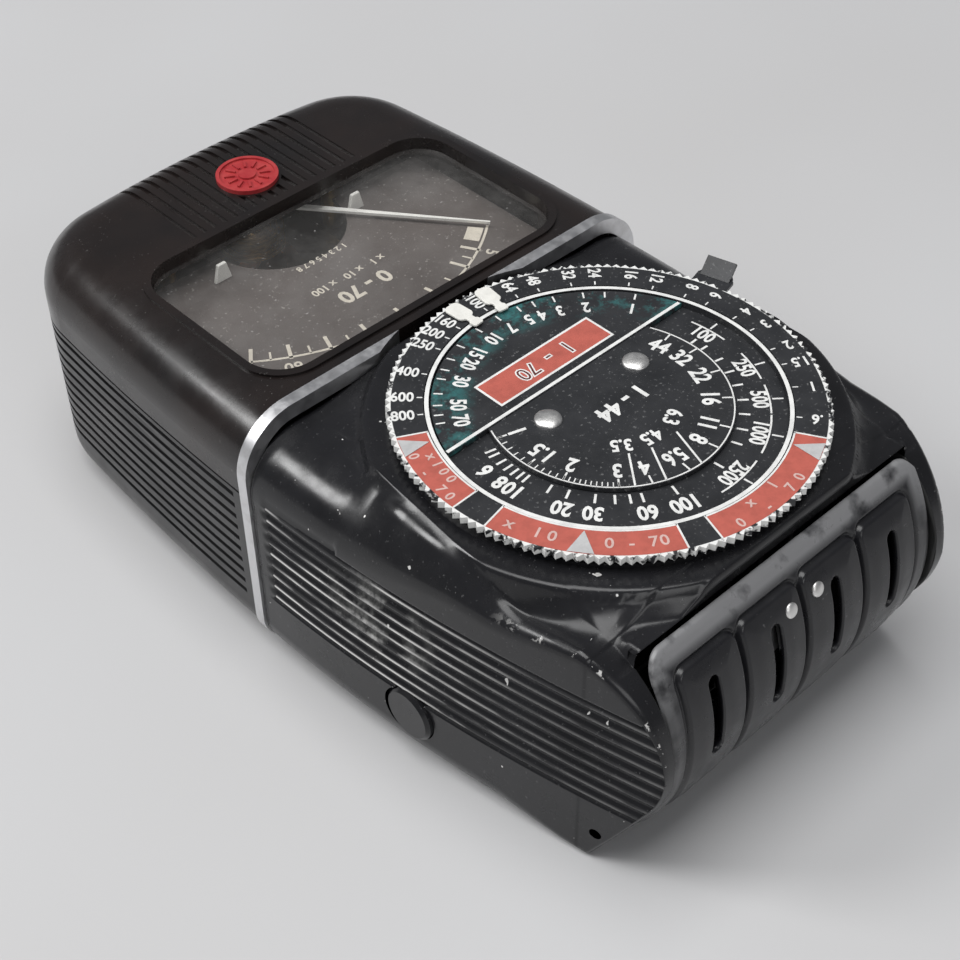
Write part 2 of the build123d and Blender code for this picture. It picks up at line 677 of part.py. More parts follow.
def cover_rivet(x, radius, length, start):
    """Short rod square to the cover's face, at the height of the slots' tops."""
    height = 25.8
    cy, cz = COVER_CENTRE
    tilt = asin((height - cz) / COVER_RADIUS)
    along = Pos(x, cy, cz) * Rot(90 - 180 / pi * tilt, 0, 0)
    return along * Pos(0, 0, start + length / 2) * Cylinder(radius, length)


def cover_rivets():
    rivets = []
    for x in (-2.1, 2.1):
        shank = cover_rivet(x, 0.6, 2.4, COVER_RADIUS - 2.2)
        rivets.append(shank + cover_rivet(x, 0.85, 0.35, COVER_RADIUS))
    return separate(rivets)


def cover_catch():
    """Spring strip riveted inside the cover, which holds it shut."""
    inner = COVER_RADIUS - COVER_THICK
    strip = cover_sector(inner, inner - 0.4, 4.0, 21.0, 28.4)
    for x in (-2.1, 2.1):
        strip = strip - cover_rivet(x, 0.6, 4.0, COVER_RADIUS - 4)
    return strip


os.makedirs("parts", exist_ok=True)

save("upper_case", upper_case())
save("lower_case", lower_case())
save("window_glass", window_glass())
save("badge", badge())
save("scale_plate", scale_plate())
save("plate_pillars", plate_pillars())
save("pointer_stops", pointer_stops())
save("case_screws", case_screws())
save("cell_housing", cell_housing())
save("cell_window", cell_plate(CELL_FRONT + 0.3, CELL_FRONT + 1.9, 0.05))
save("cell_ring", cell_ring())
save("selenium_cell", cell_plate(CELL_FRONT + 2.9, CELL_FRONT + 4.2, 0.05))
save("cell_spring", cell_spring())
save("cell_back", cell_back())
save("terminals", terminals())
save("lead_wires", lead_wires())
save("latch_spring", latch_spring())
save("movement_base", movement_base())
save("magnet", magnet())
save("pole_pieces", pole_pieces())
save("iron_core", iron_core())
save("core_bracket", core_bracket())
save("upper_bridge", upper_bridge())
save("bridge_posts", bridge_posts())
save("jewel_screws", jewel_screws())
save("movement_screws", movement_screws())
save("hairsprings", hairsprings())
save("pivot_shaft", pivot_shaft())
save("moving_coil", moving_coil())
save("pointer", pointer())
save("zero_screw", zero_screw())
save("hood_shell", hood_shell())
save("hood_trim", hood_trim())
save("light_baffle", light_baffle())
save("hinge_pin", hinge_pin())
save("release_button", release_button())
save("button_spring", button_spring())
save("dial_base", dial_base())
save("dial_hub", dial_hub())
save("shutter_disc", shutter_disc())
save("film_speed_ring", film_speed_ring())
save("light_value_plate", light_value_plate())
save("fstop_plate", fstop_plate())
save("dial_rivets", dial_rivets())
save("index_clips", index_clips())
save("cover_panel", cover_panel())
save("cover_rivets", cover_rivets())
save("cover_catch", cover_catch())
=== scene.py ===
import math

import bmesh
import bpy
import numpy as np
from mathutils import Matrix, Vector


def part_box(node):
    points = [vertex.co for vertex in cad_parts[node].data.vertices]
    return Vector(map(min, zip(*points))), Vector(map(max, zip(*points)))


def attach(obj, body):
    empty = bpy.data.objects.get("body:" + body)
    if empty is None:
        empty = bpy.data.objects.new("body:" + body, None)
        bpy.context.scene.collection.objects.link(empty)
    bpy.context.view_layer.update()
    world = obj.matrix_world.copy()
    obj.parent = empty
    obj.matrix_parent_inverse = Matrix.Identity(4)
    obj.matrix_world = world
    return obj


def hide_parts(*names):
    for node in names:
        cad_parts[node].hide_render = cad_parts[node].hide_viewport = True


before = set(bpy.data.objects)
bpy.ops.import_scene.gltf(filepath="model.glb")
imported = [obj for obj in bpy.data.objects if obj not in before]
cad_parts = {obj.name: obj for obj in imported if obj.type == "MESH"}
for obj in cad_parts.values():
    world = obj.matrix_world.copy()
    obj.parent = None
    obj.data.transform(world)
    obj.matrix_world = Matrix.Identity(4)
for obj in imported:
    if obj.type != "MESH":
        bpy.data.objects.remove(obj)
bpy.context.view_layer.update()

MM = 0.001


# ---------------------------------------------------------------- camera, light and table
# The meter lies on a pale table top under soft studio light, seen from its front left corner.

YAW = math.radians(43.32)
PITCH = math.radians(43.62)
ROLL = math.radians(-0.54)
forward = Vector((math.cos(PITCH) * math.sin(YAW), math.cos(PITCH) * math.cos(YAW), -math.sin(PITCH)))
level = Vector((math.cos(YAW), -math.sin(YAW), 0.0))
upward = level.cross(forward)
camera_right = level * math.cos(ROLL) + upward * math.sin(ROLL)
camera_up = upward * math.cos(ROLL) - level * math.sin(ROLL)

camera_data = bpy.data.cameras.new("camera")
camera_data.sensor_width = 36.0
camera_data.lens = 66.48
camera_data.clip_start = 0.01
camera = bpy.data.objects.new("camera", camera_data)
camera.matrix_world = Matrix((
    (camera_right.x, camera_up.x, -forward.x, -106.5 * MM),
    (camera_right.y, camera_up.y, -forward.y, -115.56 * MM),
    (camera_right.z, camera_up.z, -forward.z, 157.9 * MM),
    (0, 0, 0, 1),
))
bpy.context.scene.collection.objects.link(camera)
bpy.context.scene.camera = camera


def shader(name):
    """A new material with its node tree and its Principled shader."""
    material = bpy.data.materials.new(name)
    material.use_nodes = True
    tree = material.node_tree
    return material, tree, tree.nodes["Principled BSDF"]


def fill(tree, node, values):
    """Sets a shader node's inputs, by name or number, to values or to other nodes' outputs."""
    for key, value in values.items():
        if isinstance(value, bpy.types.NodeSocket):
            tree.links.new(value, node.inputs[key])
        else:
            node.inputs[key].default_value = value


def add(tree, kind, values=None, **settings):
    """One new shader node with its settings made and its inputs filled."""
    made = tree.nodes.new("ShaderNode" + kind)
    for key, value in settings.items():
        setattr(made, key, value)
    fill(tree, made, values or {})
    return made


def place(tree):
    """Object coordinates, so that a pattern stays with its piece."""
    return add(tree, "TexCoord").outputs["Object"]


def noise(tree, scale, detail=3.0, rough=0.55, at=None):
    """Noise value with scale in features per metre."""
    where = place(tree) if at is None else at
    values = {"Vector": where, "Scale": scale, "Detail": detail, "Roughness": rough}
    return add(tree, "TexNoise", values).outputs["Fac"]


def ramp(tree, value, low, high, bottom=0.0, top=1.0):
    """A value spread from low..high to bottom..top, and held outside that range."""
    limits = {"Value": value, "From Min": low, "From Max": high, "To Min": bottom, "To Max": top}
    return add(tree, "MapRange", limits, clamp=True).outputs["Result"]


def blend_colour(tree, share, first, second):
    """Two colours mixed: a share of 0 is the first and 1 the second."""
    made = add(tree, "Mix", data_type="RGBA")
    for name, value in (("Factor", share), ("A", first), ("B", second)):
        socket = next(s for s in made.inputs if s.name == name and s.enabled)
        if isinstance(value, bpy.types.NodeSocket):
            tree.links.new(value, socket)
        else:
            socket.default_value = value if name == "Factor" else (*value, 1.0)
    return next(s for s in made.outputs if s.enabled)


def maths(tree, operation, first, second):
    """One arithmetic step on two values."""
    return add(tree, "Math", {0: first, 1: second}, operation=operation).outputs[0]


def bump(tree, surface, height, distance, strength):
    """Fine relief from a height pattern; distance is in metres."""
    made = add(tree, "Bump", {"Height": height, "Distance": distance, "Strength": strength})
    fill(tree, surface, {"Normal": made.outputs["Normal"]})


def table_finish():
    """Pale matt laminate with faint broad patches."""
    material, tree, surface = shader("table_top")
    patches = noise(tree, 9.0, 2.0)
    colour = blend_colour(tree, ramp(tree, patches, 0.35, 0.65), (0.535, 0.53, 0.53), (0.565, 0.565, 0.57))
    fill(tree, surface, {"Base Color": colour, "Roughness": 0.55})
    bump(tree, surface, noise(tree, 1800.0), 0.02 * MM, 0.3)
    return material


def sheet_object(name, points, faces, material):
    """A new object whose mesh has these points and faces."""
    mesh = bpy.data.meshes.new(name)
    mesh.from_pydata(points, [], faces)
    mesh.materials.append(material)
    made = bpy.data.objects.new(name, mesh)
    bpy.context.scene.collection.objects.link(made)
    return made


table = sheet_object("table", [(-3, -3, 0), (3, -3, 0), (3, 3, 0), (-3, 3, 0)], [(0, 1, 2, 3)], table_finish())

world = bpy.data.worlds.new("room")
bpy.context.scene.world = world
world.use_nodes = True
fill(world.node_tree, world.node_tree.nodes["Background"], {"Color": (0.93, 0.95, 1.0, 1.0), "Strength": 0.185})


def soft_light(name, spot, towards, size, power):
    """Rectangular lamp at a spot, turned to face a point."""
    data = bpy.data.lights.new(name, "AREA")
    data.shape = "RECTANGLE"
    data.size, data.size_y = size
    data.energy = power
    made = bpy.data.objects.new(name, data)
    made.location = spot
    made.rotation_euler = (Vector(towards) - Vector(spot)).to_track_quat("-Z", "Y").to_euler()
    bpy.context.scene.collection.objects.link(made)


soft_light("overhead", (-0.12, 0.02, 1.00), (0, 0, 0), (0.7, 0.7), 7.4)
soft_light("left_window", (-0.72, 0.70, 0.88), (0, 0, 0.02), (0.40, 0.40), 7.6)
soft_light("front_fill", (-0.30, -0.95, 0.60), (0, 0, 0.02), (0.7, 0.4), 2.0)

bpy.context.scene.view_settings.view_transform = "Standard"


def dress(node, material):
    """Gives a CAD node its finish."""
    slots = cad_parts[node].data.materials
    slots.clear()
    slots.append(material)


# ---------------------------------------------------------------- moulded case
# Upper and lower halves are compression-moulded phenolic, satin from handling, screwed together
# from the back.

def moulded(name, tone, warm, gloss):
    """Phenolic moulding: mottled tone, dust in patches, smears and a faint orange peel."""
    material, tree, surface = shader(name)
    clouds = noise(tree, 70.0, 4.0)
    colour = blend_colour(tree, ramp(tree, clouds, 0.35, 0.7), tone, warm)
    dust = ramp(tree, noise(tree, 2600.0, 2.0), 0.66, 0.74)
    patchy = ramp(tree, noise(tree, 120.0, 3.0), 0.48, 0.68)
    dust_share = maths(tree, "MULTIPLY", maths(tree, "MULTIPLY", dust, patchy), 0.35)
    colour = blend_colour(tree, dust_share, colour, (0.30, 0.29, 0.28))
    rough = ramp(tree, noise(tree, 160.0, 5.0, 0.65), 0.3, 0.75, gloss - 0.07, gloss + 0.12)
    fill(tree, surface, {"Base Color": colour, "Roughness": rough, "Specular IOR Level": 0.42,
                         "Coat Weight": 0.12, "Coat Roughness": 0.2})
    bump(tree, surface, noise(tree, 900.0, 2.0), 0.03 * MM, 0.25)
    return material


brown_moulding = moulded("brown_moulding", (0.009, 0.0075, 0.0075), (0.017, 0.0115, 0.010), 0.24)
black_moulding = moulded("black_moulding", (0.012, 0.012, 0.013), (0.020, 0.019, 0.020), 0.33)
dress("upper_case", brown_moulding)
dress("lower_case", black_moulding)


# ---------------------------------------------------------------- round badge
# A small stamped disc in red enamel, pressed into the ridged band of the upper half.

def enamel():
    """Clouded red with an uneven surface."""
    material, tree, surface = shader("red_enamel")
    clouds = ramp(tree, noise(tree, 500.0, 4.0), 0.35, 0.65)
    colour = blend_colour(tree, clouds, (0.36, 0.022, 0.028), (0.44, 0.05, 0.05))
    fill(tree, surface, {"Base Color": colour, "Roughness": 0.42})
    bump(tree, surface, noise(tree, 2500.0, 3.0), 0.04 * MM, 0.4)
    return material


dress("badge", enamel())


# ---------------------------------------------------------------- window
# Clear pane let into the case from inside, dusty and lightly scratched.

def clear_pane(name, haze):
    """Almost clear sheet: a thin film of haze and fine specks make it show."""
    material, tree, surface = shader(name)
    film = ramp(tree, noise(tree, 90.0, 5.0, 0.7), 0.42, 0.75, 0.02, 0.02 + haze)
    specks = ramp(tree, noise(tree, 1800.0, 2.0), 0.70, 0.76, 0.0, 0.30)
    rough = ramp(tree, noise(tree, 300.0, 4.0), 0.3, 0.7, 0.06, 0.22)
    fill(tree, surface, {"Base Color": (0.72, 0.70, 0.68, 1.0), "Alpha": maths(tree, "ADD", film, specks),
                         "Roughness": rough, "Specular IOR Level": 0.8})
    return material


dress("window_glass", clear_pane("window_pane", 0.06))
dress("cell_window", clear_pane("cell_pane", 0.05))


# ---------------------------------------------------------------- scale plate and its print
# Sheet metal painted grey-brown, with the needle's scale printed in cream.

def middle_of(node):
    """Middle of a CAD node's box, at height zero."""
    low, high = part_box(node)
    return Vector(((low.x + high.x) / 2, (low.y + high.y) / 2, 0.0))


PIVOT = middle_of("iron_core")
SCALE_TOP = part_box("scale_plate")[1].z


def plate_paint():
    """Flat grey-brown paint with pale dust."""
    material, tree, surface = shader("plate_paint")
    clouds = ramp(tree, noise(tree, 60.0, 4.0), 0.3, 0.7)
    colour = blend_colour(tree, clouds, (0.070, 0.059, 0.054), (0.098, 0.083, 0.076))
    dust = ramp(tree, noise(tree, 2200.0, 2.0), 0.66, 0.72, 0.0, 0.5)
    colour = blend_colour(tree, dust, colour, (0.35, 0.33, 0.30))
    fill(tree, surface, {"Base Color": colour, "Roughness": 0.6})
    return material


def ink(name, colour, worn=0.0):
    """Printed or filled paint, a little uneven, with grime darkening it in patches, more so where worn is above 0.
    """
    material, tree, surface = shader(name)
    grime = ramp(tree, noise(tree, 700.0, 4.0, 0.7), 0.40, 0.72, 0.0, 0.25 + worn)
    tint = blend_colour(tree, grime, colour, tuple(0.45 * c for c in colour))
    fill(tree, surface, {"Base Color": tint, "Roughness": 0.5})
    return material


def word(text, size, weight=0.0):
    """Outline of a word about its own centre: points (n, 2) and faces, cut from the built-in typeface."""
    curve = bpy.data.curves.new("lettering", "FONT")
    curve.body = text
    curve.size = size
    curve.offset = weight
    curve.align_x = "CENTER"
    curve.align_y = "CENTER"
    curve.resolution_u = 3
    holder = bpy.data.objects.new("lettering", curve)
    bpy.context.scene.collection.objects.link(holder)
    bpy.context.view_layer.update()
    shown = holder.evaluated_get(bpy.context.evaluated_depsgraph_get())
    mesh = bpy.data.meshes.new_from_object(shown)
    points = np.zeros(len(mesh.vertices) * 3)
    mesh.vertices.foreach_get("co", points)
    faces = [tuple(p.vertices) for p in mesh.polygons]
    bpy.data.objects.remove(holder)
    bpy.data.curves.remove(curve)
    bpy.data.meshes.remove(mesh)
    return points.reshape(-1, 3)[:, :2], faces


def set_at(shape, centre, turn):
    """Turns a flat shape by an angle and moves it: x' = x cos - y sin, y' = x sin + y cos."""
    points, faces = shape
    c, s = math.cos(turn), math.sin(turn)
    turned = points @ np.array([[c, s], [-s, c]])
    return turned + np.array([centre[0], centre[1]]), faces


def squeezed(shape, across):
    """Letters made narrower or wider by one factor."""
    points, faces = shape
    return points * np.array([across, 1.0]), faces


def polar(centre, radius, angle):
    """Point at a radius and angle from a centre."""
    return centre[0] + radius * math.cos(angle), centre[1] + radius * math.sin(angle)


def band(centre, r_in, r_out, start, end, steps):
    """Flat ring sector: radius runs from r_in to r_out and the angle from start to end."""
    angles = np.linspace(start, end, steps + 1)
    rim = np.stack([np.cos(angles), np.sin(angles)], 1)
    points = np.concatenate([rim * r_in, rim * r_out]) + np.array([centre[0], centre[1]])
    i = np.arange(steps)
    faces = np.stack([i, i + steps + 1, i + steps + 2, i + 1], 1)
    return points, [tuple(f) for f in faces.tolist()]


def ticks(centre, r_in, r_out, angles, width):
    """Radial strokes: four corners at each angle, along and across the radius."""
    a = np.asarray(angles, float)[:, None]
    along = np.stack([np.cos(a), np.sin(a)], -1)
    side = np.stack([-np.sin(a), np.cos(a)], -1) * width / 2
    corners = [along * r_in - side, along * r_out - side, along * r_out + side, along * r_in + side]
    points = np.concatenate(corners, 1).reshape(-1, 2) + np.array([centre[0], centre[1]])
    faces = np.arange(len(points)).reshape(-1, 4)
    return points, [tuple(f) for f in faces.tolist()]


def printed(name, shapes, height, material, body, thick=0.03 * MM):
    """One layer of print: every flat shape at one height, thickened downwards by Solidify."""
    faces = []
    start = 0
    for shape_points, shape_faces in shapes:
        faces += [tuple(i + start for i in f) for f in shape_faces]
        start += len(shape_points)
    flat = np.concatenate([shape_points for shape_points, _ in shapes])
    made = sheet_object(name, np.column_stack([flat, np.full(len(flat), height)]).tolist(), faces, material)
    body_of_ink = made.modifiers.new("thickness", "SOLIDIFY")
    body_of_ink.thickness = thick
    body_of_ink.offset = -1.0
    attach(made, body)
    return made


def figures(values, angle_of, centre, radius, size, across, weight, turn):
    """Numbers on a circle. Each is turned by its own angle and by turn; the sizes are in millimetres."""
    shapes = []
    for value in values:
        angle = angle_of(value)
        figure = squeezed(word(f"{value:g}".lstrip("0"), size * MM, weight * MM), across)
        shapes.append(set_at(figure, polar(centre, radius * MM, angle), angle + turn))
    return shapes


def strokes(values, angle_of, centre, r_in, r_out, width):
    """Ticks at the angles of these values; the sizes are in millimetres."""
    return ticks(centre, r_in * MM, r_out * MM, [angle_of(v) for v in values], width * MM)


def scale_angle(value):
    """Where the needle stands at a reading: zero on the right, crowded at both ends."""
    share = (value / 70.0) ** 0.78
    return math.radians(-90.0 + 38.5 - 76.0 * share)


cream = ink("cream_print", (0.62, 0.57, 0.48), 0.1)
SCALE_FIGURES = (5, 10, 20, 30, 40, 50, 60, 70)
SCALE_R = 30.6
QUARTER = math.pi / 2
scale_shapes = [band(PIVOT, (SCALE_R - 0.16) * MM, (SCALE_R + 0.16) * MM, scale_angle(70), scale_angle(0), 60),
                strokes(SCALE_FIGURES, scale_angle, PIVOT, SCALE_R - 2.3, SCALE_R + 0.3, 0.45),
                strokes((7.5, 15, 25, 35, 45, 55, 65), scale_angle, PIVOT, SCALE_R - 1.4, SCALE_R, 0.25),
                band(PIVOT, (SCALE_R - 2.4) * MM, (SCALE_R - 0.4) * MM, scale_angle(3.0), scale_angle(0.3), 6)]
scale_shapes += figures(SCALE_FIGURES, scale_angle, PIVOT, SCALE_R + 1.7, 2.2, 1.0, 0.04, -QUARTER)
for text, size, y_drop, weight in (("0 - 70", 3.2, 22.6, 0.10), ("x 1   x 10   x 100", 1.6, 19.6, 0.03),
                                   ("1 2 3 4 5 6 7 8", 1.3, 14.6, 0.02)):
    line = word(text, size * MM, weight * MM)
    scale_shapes.append(set_at(line, (0.0, PIVOT.y - y_drop * MM), math.pi))
printed("scale_print", scale_shapes, SCALE_TOP + 0.03 * MM, cream, "meter_body")
dress("scale_plate", plate_paint())


# ---------------------------------------------------------------- needle and movement
# White painted needle on a copper coil, turning in the gap of a magnet behind the scale.

def metal(name, colour, rough, scratch=0.5, stain=(0.2, 0.17, 0.12)):
    """Bare metal with fine rubbing marks and darker stains."""
    material, tree, surface = shader(name)
    stains = ramp(tree, noise(tree, 350.0, 4.0), 0.5, 0.75, 0.0, 0.5)
    rubbing = ramp(tree, noise(tree, 900.0, 5.0, 0.7), 0.3, 0.7, rough, rough + 0.2)
    fill(tree, surface, {"Base Color": blend_colour(tree, stains, colour, stain), "Metallic": 1.0,
                         "Roughness": rubbing})
    bump(tree, surface, noise(tree, 3000.0, 3.0), 0.02 * MM, scratch)
    return material


brass = metal("brass", (0.72, 0.52, 0.24), 0.28)
steel = metal("steel", (0.55, 0.55, 0.56), 0.32)
dark_iron = metal("dark_iron", (0.16, 0.16, 0.17), 0.5)
copper = metal("copper_wire", (0.78, 0.33, 0.16), 0.3)
bright = metal("bright_metal", (0.72, 0.72, 0.73), 0.30, 0.3, (0.40, 0.39, 0.38))
white_paint = ink("white_paint", (0.80, 0.79, 0.74))
for node in ("plate_pillars", "cell_ring", "cell_spring", "terminals", "movement_base", "core_bracket",
             "upper_bridge", "bridge_posts", "jewel_screws", "hairsprings", "zero_screw"):
    dress(node, brass)
for node in ("case_screws", "latch_spring", "pole_pieces", "iron_core", "movement_screws", "pivot_shaft",
             "dial_hub", "hinge_pin", "button_spring", "cover_catch"):
    dress(node, steel)
dress("magnet", dark_iron)
dress("moving_coil", copper)
dress("pointer", white_paint)


def folded_stops():
    """Two upright tabs: each a plate that tapers from the scale plate to just under the glass."""
    low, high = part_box("pointer_stops")
    middle = (low.y + high.y) / 2
    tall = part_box("window_glass")[0].z - 0.15 * MM
    points = []
    faces = []
    for x in (low.x + 0.7 * MM, high.x - 0.7 * MM):
        start = len(points)
        for y in (middle - 0.25 * MM, middle + 0.25 * MM):
            for dx, z in ((-1.25, SCALE_TOP), (1.25, SCALE_TOP), (0.62, tall), (-0.62, tall)):
                points.append((x + dx * MM, y, z))
        sides = ((0, 1, 2, 3), (7, 6, 5, 4), (1, 5, 6, 2), (3, 2, 6, 7), (4, 0, 3, 7), (4, 5, 1, 0))
        faces += [tuple(start + i for i in f) for f in sides]
    return sheet_object("needle_stops", points, faces, white_paint)


stops = folded_stops()
rounding = stops.modifiers.new("edges", "BEVEL")
rounding.width = 0.12 * MM
rounding.segments = 2
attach(stops, "meter_body")
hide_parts("pointer_stops")


# ---------------------------------------------------------------- light cell
# Grey-violet selenium on a steel plate, in a black plastic box with rubber-sleeved leads.

def selenium():
    """Clouded grey-violet with a dull metallic sheen."""
    material, tree, surface = shader("selenium")
    clouds = ramp(tree, noise(tree, 220.0, 5.0), 0.35, 0.7)
    colour = blend_colour(tree, clouds, (0.07, 0.075, 0.09), (0.12, 0.11, 0.13))
    fill(tree, surface, {"Base Color": colour, "Metallic": 0.6, "Roughness": 0.35})
    return material


inner_black = moulded("inner_black", (0.012, 0.012, 0.012), (0.02, 0.02, 0.02), 0.5)
dress("selenium_cell", selenium())
dress("cell_housing", inner_black)
dress("cell_back", moulded("pressed_board", (0.08, 0.045, 0.025), (0.11, 0.06, 0.03), 0.55))
dress("light_baffle", inner_black)
dress("lead_wires", moulded("wire_sleeve", (0.20, 0.03, 0.025), (0.26, 0.05, 0.04), 0.5))


# ---------------------------------------------------------------- hood
# Drawn aluminium hood in gloss black stove enamel: flat round table for the dial, a hollow slope
# down to its side edges, pressed ridges along both sides, and a round nose open for the cover.
# Sizes here are in millimetres from the joint with the case; SHIFT turns y into the frame's y.

DIAL = middle_of("dial_base")
TABLE_Y = -25.2
SHIFT = DIAL.y / MM - TABLE_Y
TABLE_R = 26.25
TABLE_TOP = 33.5
LIP_Z = 33.25
TABLE_FOOT = 32.5
HOOD_BACK = -1.25
NOSE_AXIS = (-41.7, 18.0)
NOSE_R = 13.3
FOOT_Y = -47.2
CHEEK_X = 21.2
MOUTH_Y = -48.7
RIDGE_LOW = 9.75
RIDGE_PITCH = 1.72
RIDGE_COUNT = 9
BROW_Z = 31.05
BODY_ROWS = 150
BACK_COLUMNS, FLAT_COLUMNS, TURN_COLUMNS, OVER_COLUMNS, MIDDLE_COLUMNS = 14, 6, 8, 25, 43
SHEET = 1.3
PIN_AT = (-48.1, 4.8)
BUTTON_AT = (-24.3, 7.0)


def half_width(y):
    """Half the hood's width, narrowing with the square of y."""
    return 30.2 - 0.0025 * y ** 2


def nose_profile(y):
    """Side view of the nose: upper and lower height of the cheek plate at each y."""
    cy, cz = NOSE_AXIS
    reach = math.hypot(cy - FOOT_Y, cz)
    slope = math.atan2(cz, cy - FOOT_Y) + math.asin(NOSE_R / reach)
    run = math.sqrt(reach ** 2 - NOSE_R ** 2)
    touch_y, touch_z = FOOT_Y + run * math.cos(slope), run * math.sin(slope)
    drop = np.sqrt(np.maximum(NOSE_R ** 2 - (y - cy) ** 2, 0.0))
    upper = np.where(y < cy, cz + drop, cz + NOSE_R)
    line = np.clip((FOOT_Y - y) / (FOOT_Y - touch_y), 0, 1) * touch_z
    lower = np.where(y < touch_y, cz - drop, line)
    return upper, lower


def edge_height(y):
    """Height of the hood's side edge: level with the case at the joint, sinking, then round the nose."""
    rise = np.interp(y, [-45, -42, -38, -35, -30, -27, -24, -18, -10, 0],
                     [30.9, 30.75, 30.35, 30.45, 31.3, 32.1, 32.8, 33.25, 33.45, 33.5])
    return np.minimum(rise, nose_profile(y)[0])


def dial_table(x, y, inner, foot):
    """Height over the hood's top: a level round table for the dial with a small lip and a short wall,
    then a hollow slope that flattens out to the foot height at the hood's side edge."""
    d = np.hypot(x, y - TABLE_Y)
    lip = TABLE_TOP - 0.25 * np.clip((d - 25.5) / 0.55, 0, 1) ** 2
    wall = LIP_Z - (LIP_Z - TABLE_FOOT) * np.clip((d - TABLE_R + 0.2) / 0.2, 0, 1)
    room = np.maximum(np.hypot(inner, y - TABLE_Y) - TABLE_R, 0.6)
    t = np.clip((d - TABLE_R) / room, 0, 1)
    sag = 0.9 * t * (1 - t) * np.clip((-28 - y) / 8, 0, 1)
    slope = foot + (TABLE_FOOT - foot) * (1 - t) ** 2.2 - sag
    return np.where(d < TABLE_R - 0.2, lip, np.where(d < TABLE_R, wall, slope))


def hood_rows():
    """Places of the grid's rows: even along the body, then at even angles round the nose to its tip."""
    start = math.asin((NOSE_AXIS[0] - MOUTH_Y + 0.1) / NOSE_R)
    around_nose = NOSE_AXIS[0] - NOSE_R * np.sin(np.linspace(start, math.pi / 2, 60))
    return np.concatenate([np.linspace(HOOD_BACK, -46.0, BODY_ROWS), np.linspace(-46.25, MOUTH_Y, 9), around_nose])


def on_top(x, y, z, inner, top, arc, over_top):
    """Raises the top: the larger of the side edge's rounding and the dial's table, with the lift
    averaged between neighbours outside the table, and a brow above the mouth."""
    d = np.hypot(x, y - TABLE_Y)
    allowed = over_top & (y > MOUTH_Y - 0.05)
    hollow = np.clip((-26 - y) / 4, 0, 1)
    table = dial_table(np.minimum(x, inner), y, inner, top - 0.05)
    dished = hollow * table + (1 - hollow) * np.maximum(z, table)
    steep = np.minimum(33.2 - 1.6 * np.maximum(d - 25.7, 0), LIP_Z)
    beside = np.where(d < TABLE_R, np.maximum(z, dial_table(x, y, inner, top)), dished)
    lift = np.where(arc, np.maximum(z, steep), beside) - z
    free = allowed & (d > TABLE_R + 0.2)
    for step in range(16):
        mean = lift.copy()
        mean[1:-1] = 0.25 * (lift[:-2] + lift[2:]) + 0.5 * lift[1:-1]
        if step % 4 == 0:
            mean[:, 1:-1] = 0.25 * (mean[:, :-2] + mean[:, 2:]) + 0.5 * mean[:, 1:-1]
        lift = np.where(free, mean, lift)
    z = np.where(allowed, z + lift, z)
    brow = np.clip((-45.0 - y) / 2.2, 0, 1) * allowed * (x < CHEEK_X - 0.05)
    return z + brow * (np.maximum(z, BROW_Z) - z)


